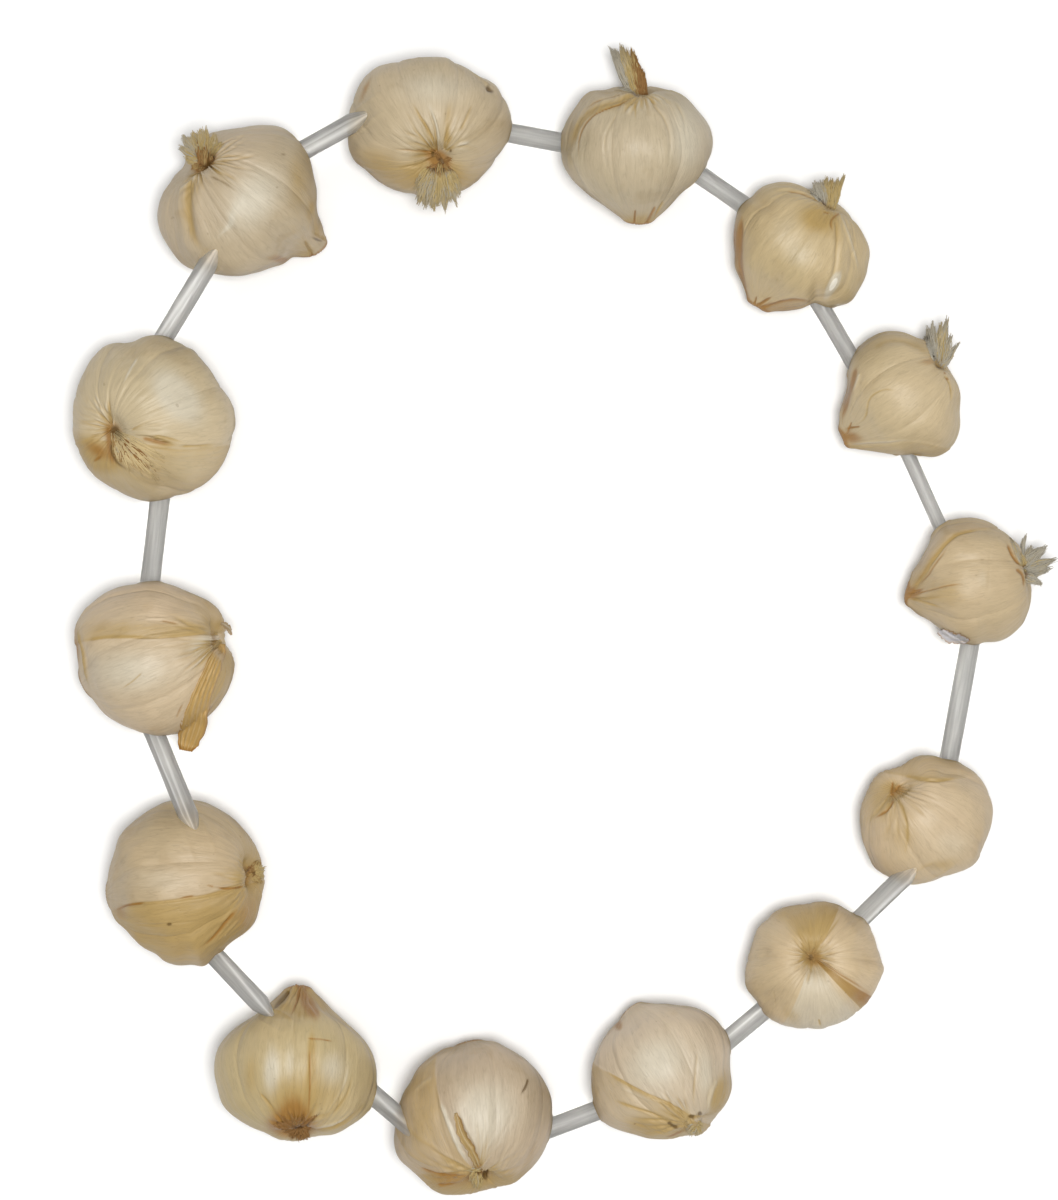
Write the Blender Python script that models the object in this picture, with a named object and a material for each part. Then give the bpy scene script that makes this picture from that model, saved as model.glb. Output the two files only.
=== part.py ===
"""A ring of dried garlic bulbs strung alternately with short lengths of clear drinking straw.

It lies flat: +Z is up, +Y runs along the ring's longer way, and the origin is on the floor
under the middle of the ring. Everything is in metres.
"""
import math
import random
from collections import namedtuple

import bmesh
import bpy
from mathutils import Matrix, Vector
from mathutils.bvhtree import BVHTree

MM = 0.001

# Lathe and cylinder resolution.
BULB_SIDES = 20
BULB_RINGS = 11
LIMB_SIDES = 8
LIMB_RINGS = 5
STRAW_SIDES = 10

# Each bulb sinks this far into the floor plane and is cut off there, so it rests on a flat spot.
SINK = 0.7 * MM
CLOVE_DEPTH = 0.022     # how far the cloves swell and the grooves between them dip, in belly radii

STRAW_RADIUS = 3.2 * MM
STRAW_WALL = 0.4 * MM
STRAW_SEAT = 5.5 * MM   # how far each straw end goes in past the skin
CLEARANCE = 0.3 * MM

# Half outline of a bulb, (radius, height) in belly radii. Heights above the belly are scaled by
# the bulb's crown. Below it, the neck draws out the tip and leaves the flanks round.
CROWN_OUTLINE = ((0.0, 0.90), (0.13, 0.92), (0.30, 1.01), (0.50, 0.98), (0.71, 0.81),
                 (0.87, 0.56), (0.97, 0.28), (1.0, 0.0))
NECK_OUTLINE = ((0.96, -0.22), (0.84, -0.44), (0.66, -0.62), (0.46, -0.78), (0.27, -0.91),
                (0.16, -0.99), (0.0, -1.0))

# x, y: place of the bulb's middle in mm.  belly: largest radius in mm.  crown, neck: how far the
# root end and the neck reach from the belly, in belly radii.  azimuth, lift: the way that the
# root end points, in degrees round +Z from +X and up from the floor.  neck_shift: how far the
# neck's tip leans along x and y, in mm.  cloves: how many swell the skin.  swells: rounded
# corners and flats of the outline as (azimuth, lift, amount in belly radii, spread in degrees).
Bulb = namedtuple("Bulb", "x y belly crown neck azimuth lift neck_shift cloves swells")
BULBS = (
    Bulb(-105.3, 135.5, 25.0, 0.84, 1.32, 136, 38, (4.5, 4.5), 7,
         ((50, 10, 0.10, 30), (215, 0, 0.14, 38), (95, 10, -0.07, 22), (265, 0, -0.06, 25),
          (150, 10, -0.13, 24))),
    Bulb(-43.6, 160.2, 24.2, 0.84, 1.0, -80, 50, (0, 0), 8,
         ((5, 0, 0.10, 35), (175, 0, 0.09, 40), (80, 0, -0.09, 38), (255, 0, -0.05, 25))),
    Bulb(24.1, 152.8, 25.0, 0.77, 1.02, 91, 16, (0, 0), 7,
         ((185, 0, 0.05, 35), (125, 10, 0.03, 25), (330, 0, -0.03, 30))),
    Bulb(77.0, 120.6, 22.3, 0.78, 1.15, 54, 18, (0, 0), 6,
         ((350, 5, 0.05, 25), (130, 5, 0.05, 35), (315, 0, 0.03, 30), (20, 0, -0.05, 20),
          (265, 0, -0.04, 28))),
    Bulb(109.9, 72.2, 21.0, 0.82, 1.18, 36, 14, (0, 0), 6,
         ((312, 0, 0.13, 28), (110, 0, 0.03, 30), (170, 0, -0.09, 24), (5, 0, -0.04, 20))),
    Bulb(132.4, 11.7, 20.2, 0.9, 1.08, 8, 12, (0, -1), 6,
         ((310, 0, 0.10, 30), (100, 0, 0.03, 25), (155, 0, -0.06, 24), (50, 0, -0.05, 20),
          (250, 0, -0.04, 22))),
    Bulb(118.7, -66.3, 21.2, 0.92, 1.0, 135, 32, (0, 0), 7,
         ((230, 0, 0.05, 35), (285, 0, -0.04, 25), (20, 0, 0.05, 35))),
    Bulb(81.3, -113.4, 21.8, 0.88, 0.98, 105, 76, (0, 0), 8,
         ((205, 0, 0.07, 35), (285, 0, -0.08, 25), (30, 0, 0.02, 25))),
    Bulb(32.2, -145.9, 22.4, 0.97, 1.0, -60, 24, (0, 0), 7,
         ((35, 0, 0.04, 28), (215, 0, 0.09, 32), (160, 0, 0.04, 25), (265, 0, -0.05, 22))),
    Bulb(-28.9, -161.9, 25.0, 0.87, 1.0, -84, 30, (0, 0), 8,
         ((235, 0, 0.05, 35), (55, 0, 0.08, 30), (125, 0, 0.06, 28), (290, 0, -0.03, 25))),
    Bulb(-86.8, -144.9, 26.0, 0.83, 1.06, -89, 20, (0, 0), 8,
         ((335, 0, 0.06, 30), (190, 0, 0.04, 32), (50, 0, -0.15, 25), (130, 0, -0.10, 24))),
    Bulb(-123.2, -85.8, 25.6, 0.91, 1.02, 8, 16, (0, -1.5), 7,
         ((270, 0, 0.04, 30), (145, 0, 0.06, 28), (85, 0, 0.03, 30), (40, 0, -0.04, 25))),
    Bulb(-133.6, -14.0, 25.3, 0.94, 0.98, 19, 12, (0, 0), 7,
         ((150, 5, 0.14, 28), (235, 0, -0.04, 30), (30, 0, 0.04, 20))),
    Bulb(-133.4, 64.7, 26.2, 0.86, 1.0, -155, 56, (0, 0), 8,
         ((115, 0, 0.06, 30), (33, 0, -0.05, 25), (315, 0, 0.03, 30), (3, 0, 0.08, 25))),
)

# Dried roots standing out of the crown, by the bulb's place in BULBS. length, foot and end are
# in mm (foot and end are half widths), and thin is the end's thickness over its width.
Tuft = namedtuple("Tuft", "length foot end thin azimuth lift")
TUFTS = {
    0: Tuft(10.5, 3.2, 5.2, 0.9, 104, 46),
    1: Tuft(17.0, 3.2, 6.0, 0.5, -90, 2),
    2: Tuft(16.5, 3.1, 4.8, 0.6, 107, 8),
    3: Tuft(11.5, 2.8, 4.6, 0.6, 68, 14),
    4: Tuft(13.5, 2.4, 5.2, 0.6, 84, 12),
    5: Tuft(9.5, 2.4, 4.8, 0.6, 16, 8),
}

# Loose folds of husk that stand off the skin: start, the point that the fold bends towards, and
# end, each from the bulb's middle in mm, then half width and half thickness in mm.
Fold = namedtuple("Fold", "start bend end width thick")
FOLDS = {
    12: Fold((22, 7.5, 9), (24, -10, 16.5), (11, -28.5, 3), 3.6, 1.3),
    13: Fold((-10.4, -4.9, 22.5), (-5.8, -16.3, 23.5), (3.9, -20.5, 14.8), 3.0, 1.6),
}

# Where a straw leaves one bulb and enters the next, as (azimuth, lift) from each bulb's middle.
# A lift above 20 goes in through the upper side, and the others go in just under the edge.
STRAW_SEATS = (
    ((40, -8), (179, 27)),
    ((-4, -8), (175, -8)),
    ((-23, -8), (142, -8)),
    ((-69, -8), (142, -8)),
    ((-81, -8), (117, -8)),
    ((-88, -8), (70, -6)),
    ((-104, 29), (42, -8)),
    ((-137, -8), (20, -8)),
    ((-143, -8), (-11, -8)),
    ((-164, 35), (-24, -8)),
    ((114, 32), (-69, -8)),
    ((76, 41), (-89, -8)),
    ((92, -4), (-86, -8)),
    ((85, -8), (-112, 30)),
)


def clear_scene():
    for obj in list(bpy.data.objects):
        bpy.data.objects.remove(obj, do_unlink=True)


def make_material(name, color, roughness, alpha=1.0):
    material = bpy.data.materials.new(name)
    material.use_nodes = True
    shader = material.node_tree.nodes["Principled BSDF"]
    shader.inputs["Base Color"].default_value = (*color, 1.0)
    shader.inputs["Roughness"].default_value = roughness
    shader.inputs["Metallic"].default_value = 0.0
    shader.inputs["Alpha"].default_value = alpha
    return material


def direction(azimuth, lift):
    """Unit vector from degrees round +Z and degrees up from the floor."""
    a = math.radians(azimuth)
    b = math.radians(lift)
    return Vector((math.cos(a) * math.cos(b), math.sin(a) * math.cos(b), math.sin(b)))


def smooth_line(points, count):
    """Points evenly spread in parameter along a Catmull-Rom curve through the given ones."""
    points = [Vector(p) for p in points]
    ends = [2 * points[0] - points[1], *points, 2 * points[-1] - points[-2]]
    spans = len(points) - 1
    line = []
    for i in range(count):
        t = i * spans / (count - 1)
        k = min(int(t), spans - 1)
        t -= k
        a, b, c, d = ends[k:k + 4]
        line.append(0.5 * (2 * b + (c - a) * t + (2 * a - 5 * b + 4 * c - d) * t * t
                           + (3 * b - 3 * c + d - a) * t ** 3))
    return line


def bulb_outline(bulb, count):
    """The bulb's half outline in the XZ plane, in belly radii, from the crown to the neck."""
    crown = [(r, 0, z * bulb.crown) for r, z in CROWN_OUTLINE]
    neck = [(r, 0, z * (1 + (bulb.neck - 1) * abs(z) ** 3)) for r, z in NECK_OUTLINE]
    return smooth_line(crown + neck, count)


def clove_swell(bulb, turn):
    """Rounded ridges with sharper grooves between them, round the bulb's own axis."""
    shaped = random.Random(bulb.cloves * 7 + int(bulb.belly * 10))
    warp = 0.35 * math.sin(turn + shaped.uniform(0, 6.3))
    ridge = abs(math.sin(0.5 * bulb.cloves * turn + warp + shaped.uniform(0, 3.1)))
    return CLOVE_DEPTH * (2 * math.sqrt(ridge) - 1.2)


def bulb_point(bulb, local, frame):
    """Turns a point of the lathed form, in belly radii, into its place round the bulb's middle."""
    turn = math.atan2(local.y, local.x)
    width = math.hypot(local.x, local.y)
    grown = 1 + clove_swell(bulb, turn) * min(1.0, width / 0.6)
    place = frame @ Vector((local.x * grown, local.y * grown, local.z))
    toward = place.normalized()
    swell = 1.0
    for azimuth, lift, amount, spread in bulb.swells:
        apart = math.degrees(toward.angle(direction(azimuth, lift)))
        swell += amount * math.exp(-(apart / spread) ** 2)
    lean = min(1.0, max(0.0, -local.z / bulb.neck)) ** 2
    shift = Vector((*bulb.neck_shift, 0)) * MM * lean
    return place * swell * bulb.belly * MM + shift


def axis_frame(axis):
    """A rotation that turns +Z to the axis."""
    return axis.to_track_quat("Z", "Y").to_matrix()


def lathe_bulb(bulb):
    """The bulb round its own middle: an outline spun round its axis, swollen, turned to lie."""
    bm = bmesh.new()
    outline = bulb_outline(bulb, BULB_RINGS + 2)
    verts = [bm.verts.new(p) for p in outline]
    edges = [bm.edges.new(pair) for pair in zip(verts, verts[1:])]
    bmesh.ops.spin(bm, geom=verts + edges, axis=(0, 0, 1), cent=(0, 0, 0),
                   angle=2 * math.pi, steps=BULB_SIDES, use_merge=True)
    bmesh.ops.remove_doubles(bm, verts=bm.verts[:], dist=1e-5)
    frame = axis_frame(direction(bulb.azimuth, bulb.lift))
    for vert in bm.verts:
        vert.co = bulb_point(bulb, vert.co, frame)
    bmesh.ops.recalc_face_normals(bm, faces=bm.faces[:])
    return bm


def stand_on_floor(bm, bulb):
    """Moves the bulb to its place, sunk a little, and cuts it off flat at the floor."""
    height = SINK + min(vert.co.z for vert in bm.verts)
    middle = Vector((bulb.x * MM, bulb.y * MM, -height))
    bmesh.ops.translate(bm, vec=middle, verts=bm.verts[:])
    whole = bm.verts[:] + bm.edges[:] + bm.faces[:]
    cut = bmesh.ops.bisect_plane(bm, geom=whole, dist=1e-6, plane_co=(0, 0, 0),
                                 plane_no=(0, 0, 1), clear_inner=True)
    rim = [part for part in cut["geom_cut"] if isinstance(part, bmesh.types.BMEdge)]
    bmesh.ops.edgeloop_fill(bm, edges=rim)
    bmesh.ops.recalc_face_normals(bm, faces=bm.faces[:])
    return middle


def add_object(name, bm, material):
    mesh = bpy.data.meshes.new(name)
    bm.to_mesh(mesh)
    bm.free()
    mesh.materials.append(material)
    mesh.shade_smooth()
    mesh.set_sharp_from_angle(angle=math.radians(40))
    obj = bpy.data.objects.new(name, mesh)
    bpy.context.scene.collection.objects.link(obj)
    return obj


def as_helper(obj):
    obj.hide_render = True
    obj.display_type = "WIRE"
    return obj


def add_boolean(obj, helper, operation):
    modifier = obj.modifiers.new(helper.name, "BOOLEAN")
    modifier.operation = operation
    modifier.solver = "EXACT"
    modifier.object = as_helper(helper)


def make_limb(start, bend, end, widths, depths):
    """A flattened limb along a curve from start, first towards bend, to end."""
    bm = bmesh.new()
    side = Vector((0, 0, 1)).cross(end - start).normalized()
    for k in range(LIMB_RINGS):
        t = k / (LIMB_RINGS - 1)
        middle = start * (1 - t) ** 2 + bend * 2 * t * (1 - t) + end * t * t
        ahead = ((bend - start) * (1 - t) + (end - bend) * t).normalized()
        across = ahead.cross(side).normalized()
        width = widths[0] + (widths[1] - widths[0]) * t
        depth = depths[0] + (depths[1] - depths[0]) * t
        turned = Matrix((side * width, across * depth, ahead)).transposed()
        ring = bmesh.ops.create_circle(bm, cap_ends=False, segments=LIMB_SIDES, radius=1.0)
        for vert in ring["verts"]:
            vert.co = middle + turned @ vert.co
    bmesh.ops.bridge_loops(bm, edges=bm.edges[:])
    bmesh.ops.holes_fill(bm, edges=bm.edges[:], sides=0)
    bmesh.ops.recalc_face_normals(bm, faces=bm.faces[:])
    return bm


def make_tuft(bulb, tuft, middle):
    """A brush of dried roots that bends out of the crown."""
    axis = direction(bulb.azimuth, bulb.lift) * bulb.crown * bulb.belly * MM
    plate = middle + axis * 0.95
    tip = plate + direction(tuft.azimuth, tuft.lift) * tuft.length * MM
    widths = (tuft.foot * MM, tuft.end * MM)
    return make_limb(middle + axis * 0.7, plate, tip, widths, (widths[0], widths[1] * tuft.thin))


def make_fold(fold, middle):
    start, bend, end = (middle + Vector(place) * MM for place in fold[:3])
    return make_limb(start, bend, end, (fold.width * MM,) * 2, (fold.thick * MM,) * 2)


def cylinder(start, end, radius, sides):
    bm = bmesh.new()
    along = end - start
    place = Matrix.Translation((start + end) / 2) @ axis_frame(along.normalized()).to_4x4()
    bmesh.ops.create_cone(bm, cap_ends=True, segments=sides, radius1=radius, radius2=radius,
                          depth=along.length, matrix=place)
    return bm


def make_straw(start, end):
    """A thin tube from start to end, open at both ends."""
    bm = cylinder(start, end, STRAW_RADIUS, STRAW_SIDES)
    caps = [face for face in bm.faces if len(face.verts) == STRAW_SIDES]
    bmesh.ops.inset_region(bm, faces=caps[:1], thickness=STRAW_WALL, use_even_offset=True)
    bmesh.ops.inset_region(bm, faces=caps[1:], thickness=STRAW_WALL, use_even_offset=True)
    bmesh.ops.bridge_loops(bm, edges=list({edge for face in caps for edge in face.edges}))
    bmesh.ops.delete(bm, geom=caps, context="FACES_ONLY")
    bmesh.ops.recalc_face_normals(bm, faces=bm.faces[:])
    return bm


def skin_point(skin, middle, seat):
    """Where a ray from the bulb's middle, the way that the seat says, meets its skin."""
    return skin.ray_cast(middle, direction(*seat))[0]


def centre_over_floor(objects):
    """Shifts everything sideways so that the ring's box is centred over the origin."""
    bpy.context.view_layer.update()
    graph = bpy.context.evaluated_depsgraph_get()
    corners = []
    for obj in objects:
        if not obj.hide_render:
            shape = obj.evaluated_get(graph)
            corners += [obj.matrix_world @ Vector(corner) for corner in shape.bound_box]
    for axis in (0, 1):
        values = [corner[axis] for corner in corners]
        for obj in objects:
            obj.location[axis] -= (min(values) + max(values)) / 2


def main():
    clear_scene()
    skin = make_material("garlic_skin", (0.56, 0.43, 0.26), 0.45)
    clear = make_material("straw_clear", (0.66, 0.66, 0.64), 0.25, alpha=0.5)
    bulbs = []
    middles = []
    skins = []
    for number, bulb in enumerate(BULBS, 1):
        body = lathe_bulb(bulb)
        middles.append(stand_on_floor(body, bulb))
        skins.append(BVHTree.FromBMesh(body))
        bulbs.append(add_object(f"bulb_{number:02d}", body, skin))
    limbs = [(k, make_tuft(BULBS[k], tuft, middles[k])) for k, tuft in TUFTS.items()]
    limbs += [(k, make_fold(fold, middles[k])) for k, fold in FOLDS.items()]
    for index, limb in limbs:
        helper = add_object(f"limb_{index + 1:02d}", limb, skin)
        add_boolean(bulbs[index], helper, "UNION")
    for index, seats in enumerate(STRAW_SEATS):
        joined = (index, (index + 1) % len(BULBS))
        points = [skin_point(skins[k], middles[k], seat) for k, seat in zip(joined, seats)]
        inward = (points[0] - points[1]).normalized()
        ends = [points[0] + inward * STRAW_SEAT, points[1] - inward * STRAW_SEAT]
        add_object(f"straw_{index + 1:02d}", make_straw(*ends), clear)
        for k, way, end, other in zip(joined, (inward, -inward), ends, points[::-1]):
            bore = cylinder(end + way * CLEARANCE, other, STRAW_RADIUS + CLEARANCE,
                            STRAW_SIDES)
            helper = add_object(f"seat_{index + 1:02d}_{k + 1:02d}", bore, skin)
            add_boolean(bulbs[k], helper, "DIFFERENCE")
    centre_over_floor(bpy.data.objects[:])


main()
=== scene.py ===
"""Looks for a ring of dried garlic bulbs strung with short lengths of clear drinking straw.

Each bulb is one lathed form, bent to its own shape, then pleated, creased and stained. Dried
roots, loose husk and the straws are pieces of their own. Lengths in the tables are millimetres.
Round a bulb they run from its middle, x to the right and y to the top, seen from above.
"""

import math
import random
from collections import namedtuple

import bmesh
import bpy
import numpy as np
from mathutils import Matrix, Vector


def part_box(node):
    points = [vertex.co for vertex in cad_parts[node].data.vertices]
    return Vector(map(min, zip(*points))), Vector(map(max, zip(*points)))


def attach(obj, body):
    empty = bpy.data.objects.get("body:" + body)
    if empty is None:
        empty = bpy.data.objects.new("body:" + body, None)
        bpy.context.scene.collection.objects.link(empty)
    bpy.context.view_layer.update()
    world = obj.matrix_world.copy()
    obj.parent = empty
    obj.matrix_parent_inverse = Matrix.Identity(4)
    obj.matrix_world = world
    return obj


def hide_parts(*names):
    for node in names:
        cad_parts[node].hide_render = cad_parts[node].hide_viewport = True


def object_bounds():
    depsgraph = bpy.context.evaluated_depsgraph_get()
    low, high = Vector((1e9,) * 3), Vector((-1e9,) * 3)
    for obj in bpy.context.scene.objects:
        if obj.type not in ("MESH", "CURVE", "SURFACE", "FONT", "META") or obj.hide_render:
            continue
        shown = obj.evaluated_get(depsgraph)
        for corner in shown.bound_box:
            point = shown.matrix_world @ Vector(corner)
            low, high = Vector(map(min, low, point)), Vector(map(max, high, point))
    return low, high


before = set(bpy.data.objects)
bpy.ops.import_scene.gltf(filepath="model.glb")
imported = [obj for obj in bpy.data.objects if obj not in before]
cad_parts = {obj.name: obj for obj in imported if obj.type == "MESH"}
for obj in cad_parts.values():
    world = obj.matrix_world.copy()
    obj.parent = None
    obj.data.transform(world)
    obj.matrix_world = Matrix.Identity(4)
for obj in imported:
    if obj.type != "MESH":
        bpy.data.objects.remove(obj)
cad_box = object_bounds()

MM = 0.001
# A bulb is set down by this much, and what would be under the floor is pressed flat.
SINK = 0.7
# How far cloves stand out, in belly radii.
CLOVE_DEPTH = 0.022

# Fineness of the bulbs' skin, how much of it is gathered towards the side that faces up, and
# fineness of the plain form that the CAD bulbs are made from.
SKIN_SIDES, SKIN_RINGS = 304, 156
GATHERED = 0.42
PLAIN_SIDES, PLAIN_RINGS = 20, 13

CROWN_OUTLINE = ((0.0, 0.90), (0.13, 0.92), (0.30, 1.01), (0.50, 0.98), (0.71, 0.81),
                 (0.87, 0.56), (0.97, 0.28), (1.0, 0.0))
NECK_OUTLINE = ((0.96, -0.22), (0.84, -0.44), (0.66, -0.62), (0.46, -0.78), (0.27, -0.91),
                (0.16, -0.99), (0.0, -1.0))

# belly: largest radius.  crown, neck: how far root end and neck reach, in belly radii.
# azimuth, lift: where the root end points, in degrees.  lean: shift of the neck's tip.
# swells: (azimuth, lift, amount, spread).  tone: the skin's own colour.
Bulb = namedtuple("Bulb", "belly crown neck azimuth lift lean cloves swells tone")
BULBS = (
    Bulb(25.0, 0.84, 1.32, 136, 38, (4.5, 4.5), 7,
         ((50, 10, 0.10, 30), (215, 0, 0.14, 38), (95, 10, -0.07, 22), (265, 0, -0.06, 25),
          (150, 10, -0.13, 24)), (0.436, 0.352, 0.230)),
    Bulb(24.2, 0.84, 1.0, -80, 50, (0, 0), 8,
         ((5, 0, 0.10, 35), (175, 0, 0.09, 40), (80, 0, -0.09, 38), (255, 0, -0.05, 25)),
         (0.448, 0.360, 0.224)),
    Bulb(25.0, 0.77, 1.02, 91, 16, (0, 0), 7,
         ((185, 0, 0.05, 35), (125, 10, 0.03, 25), (330, 0, -0.03, 30)), (0.433, 0.358, 0.232)),
    Bulb(22.3, 0.78, 1.15, 54, 18, (0, 0), 6,
         ((350, 5, 0.05, 25), (130, 5, 0.05, 35), (315, 0, 0.03, 30), (20, 0, -0.05, 20),
          (265, 0, -0.04, 28)), (0.454, 0.353, 0.190)),
    Bulb(21.0, 0.82, 1.18, 36, 14, (0, 0), 6,
         ((312, 0, 0.13, 28), (110, 0, 0.03, 30), (170, 0, -0.09, 24), (5, 0, -0.04, 20)),
         (0.488, 0.386, 0.228)),
    Bulb(20.2, 0.9, 1.08, 8, 12, (0, -1), 6,
         ((310, 0, 0.10, 30), (100, 0, 0.03, 25), (155, 0, -0.06, 24), (50, 0, -0.05, 20),
          (250, 0, -0.04, 22)), (0.469, 0.364, 0.215)),
    Bulb(21.2, 0.92, 1.0, 135, 32, (0, 0), 7,
         ((230, 0, 0.05, 35), (285, 0, -0.04, 25), (20, 0, 0.05, 35)), (0.514, 0.398, 0.248)),
    Bulb(21.8, 0.88, 0.98, 105, 76, (0, 0), 8,
         ((205, 0, 0.07, 35), (285, 0, -0.08, 25), (30, 0, 0.02, 25)), (0.512, 0.395, 0.236)),
    Bulb(22.4, 0.97, 1.0, -60, 24, (0, 0), 7,
         ((35, 0, 0.04, 28), (215, 0, 0.09, 32), (160, 0, 0.04, 25), (265, 0, -0.05, 22)),
         (0.497, 0.405, 0.280)),
    Bulb(25.0, 0.87, 1.0, -84, 30, (0, 0), 8,
         ((235, 0, 0.05, 35), (55, 0, 0.08, 30), (125, 0, 0.06, 28), (290, 0, -0.03, 25)),
         (0.431, 0.337, 0.222)),
    Bulb(26.0, 0.83, 1.06, -89, 20, (0, 0), 8,
         ((335, 0, 0.06, 30), (190, 0, 0.04, 32), (50, 0, -0.15, 25), (130, 0, -0.10, 24)),
         (0.455, 0.358, 0.190)),
    Bulb(25.6, 0.91, 1.02, 8, 16, (0, -1.5), 7,
         ((270, 0, 0.04, 30), (145, 0, 0.06, 28), (85, 0, 0.03, 30), (40, 0, -0.04, 25)),
         (0.434, 0.333, 0.195)),
    Bulb(25.3, 0.94, 0.98, 19, 12, (0, 0), 7,
         ((150, 5, 0.14, 28), (235, 0, -0.04, 30), (30, 0, 0.04, 20)), (0.519, 0.406, 0.261)),
    Bulb(26.2, 0.86, 1.0, -155, 56, (0, 0), 8,
         ((115, 0, 0.06, 30), (33, 0, -0.05, 25), (315, 0, 0.03, 30), (3, 0, 0.08, 25)),
         (0.490, 0.398, 0.244)),
)

# Bulbs whose roots or husk hang past their lower side.
HANGING = (2, 13)

# Where a bulb's outline stands out or falls in from its plain form: azimuth, mm, spread in
# degrees. The first number is by how much the whole bulb is slimmer.
TRIMS = (
    (0.0, (275, 2.0, 22), (212, -1.4, 14), (343, 1.6, 12), (316, -1.8, 8), (150, -0.9, 8)),
    (0.1, (45, -1.6, 12), (138, 1.7, 18), (204, 1.6, 12), (325, -1.1, 35), (75, 0.9, 10)),
    (1.1, (135, 1.1, 10), (30, -0.7, 12), (315, -0.6, 15), (120, -0.9, 6), (180, -0.8, 9)),
    (0.1, (80, -1.1, 14), (135, -0.9, 8), (197, 1.0, 10), (236, -1.5, 12), (285, -2.2, 9),
     (313, 0.9, 10), (345, -0.9, 10)),
    (0.2, (75, -0.8, 10), (210, -1.2, 10), (285, -1.6, 16), (345, -0.9, 12)),
    (0.0, (0, 0.8, 12), (120, 0.9, 10), (182, -1.4, 8), (225, -0.9, 12), (285, -0.9, 8)),
    (0.0, (114, -2.2, 14), (225, 0.9, 10), (320, 1.3, 18), (75, -0.8, 10)),
    (0.7, (0, 1.8, 10), (103, -1.0, 12), (163, -0.9, 10), (210, -1.2, 9), (45, 0.7, 8)),
    (0.1, (0, -1.1, 14), (128, -1.1, 12), (222, 2.0, 16), (300, 1.3, 8)),
    (0.0, (75, 1.0, 10), (105, -1.0, 10), (205, 2.2, 14), (245, 1.0, 16), (300, 0.9, 10),
     (150, -0.8, 8)),
    (0.6, (15, -1.1, 22), (100, -1.4, 22), (270, 1.7, 10), (300, 1.2, 14), (210, 1.0, 12),
     (256, 1.0, 8), (325, 0.9, 12)),
    (0.0, (143, 1.2, 14), (210, 1.0, 9), (248, -0.9, 10), (285, 1.2, 6), (312, -1.4, 14),
     (345, -0.9, 12)),
    (0.0, (15, -1.9, 8), (65, -1.2, 16), (158, 1.2, 12), (232, 1.0, 16)),
    (0.0, (105, -1.8, 10), (60, 0.7, 8), (180, -0.8, 10), (285, -1.2, 10)),
)

# What shows on each bulb's upper side. A stain is one of the four kinds below; a negative amount
# takes away some of what the skin has of it. The pale kind is partly paler skin and partly a
# painted
# sheen: painted highlights on ridges, lips and rounded lobes. The dark kind also carries the
# painted shade on the bulbs' sides, which a negative dark amount takes back in places.
OCHRE, RUST, PALE_AND_SHEEN, DARK = range(4)
# A crease (depth above 0) or ridge (below 0) along a smooth line through the points.
Crease = namedtuple("Crease", "points width depth stain amount")
# A stained patch with half sizes, its long way at a turn in degrees.
Patch = namedtuple("Patch", "x y long short turn stain amount")
# Creases that gather towards a pinch, from one azimuth to the other.
Fan = namedtuple("Fan", "x y first last count reach depth")
# A dent in the skin.
Pit = namedtuple("Pit", "x y radius depth")
# An edge of the outer skin. What lies left of the line, walking along it, stands higher by step
# and is stained, fading away over the reach.
Layer = namedtuple("Layer", "points step stain amount reach")
# A stained sector from its crisp first azimuth to its last, which is soft by soft mm.
Wedge = namedtuple("Wedge", "x y first last start soft stain amount")

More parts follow.
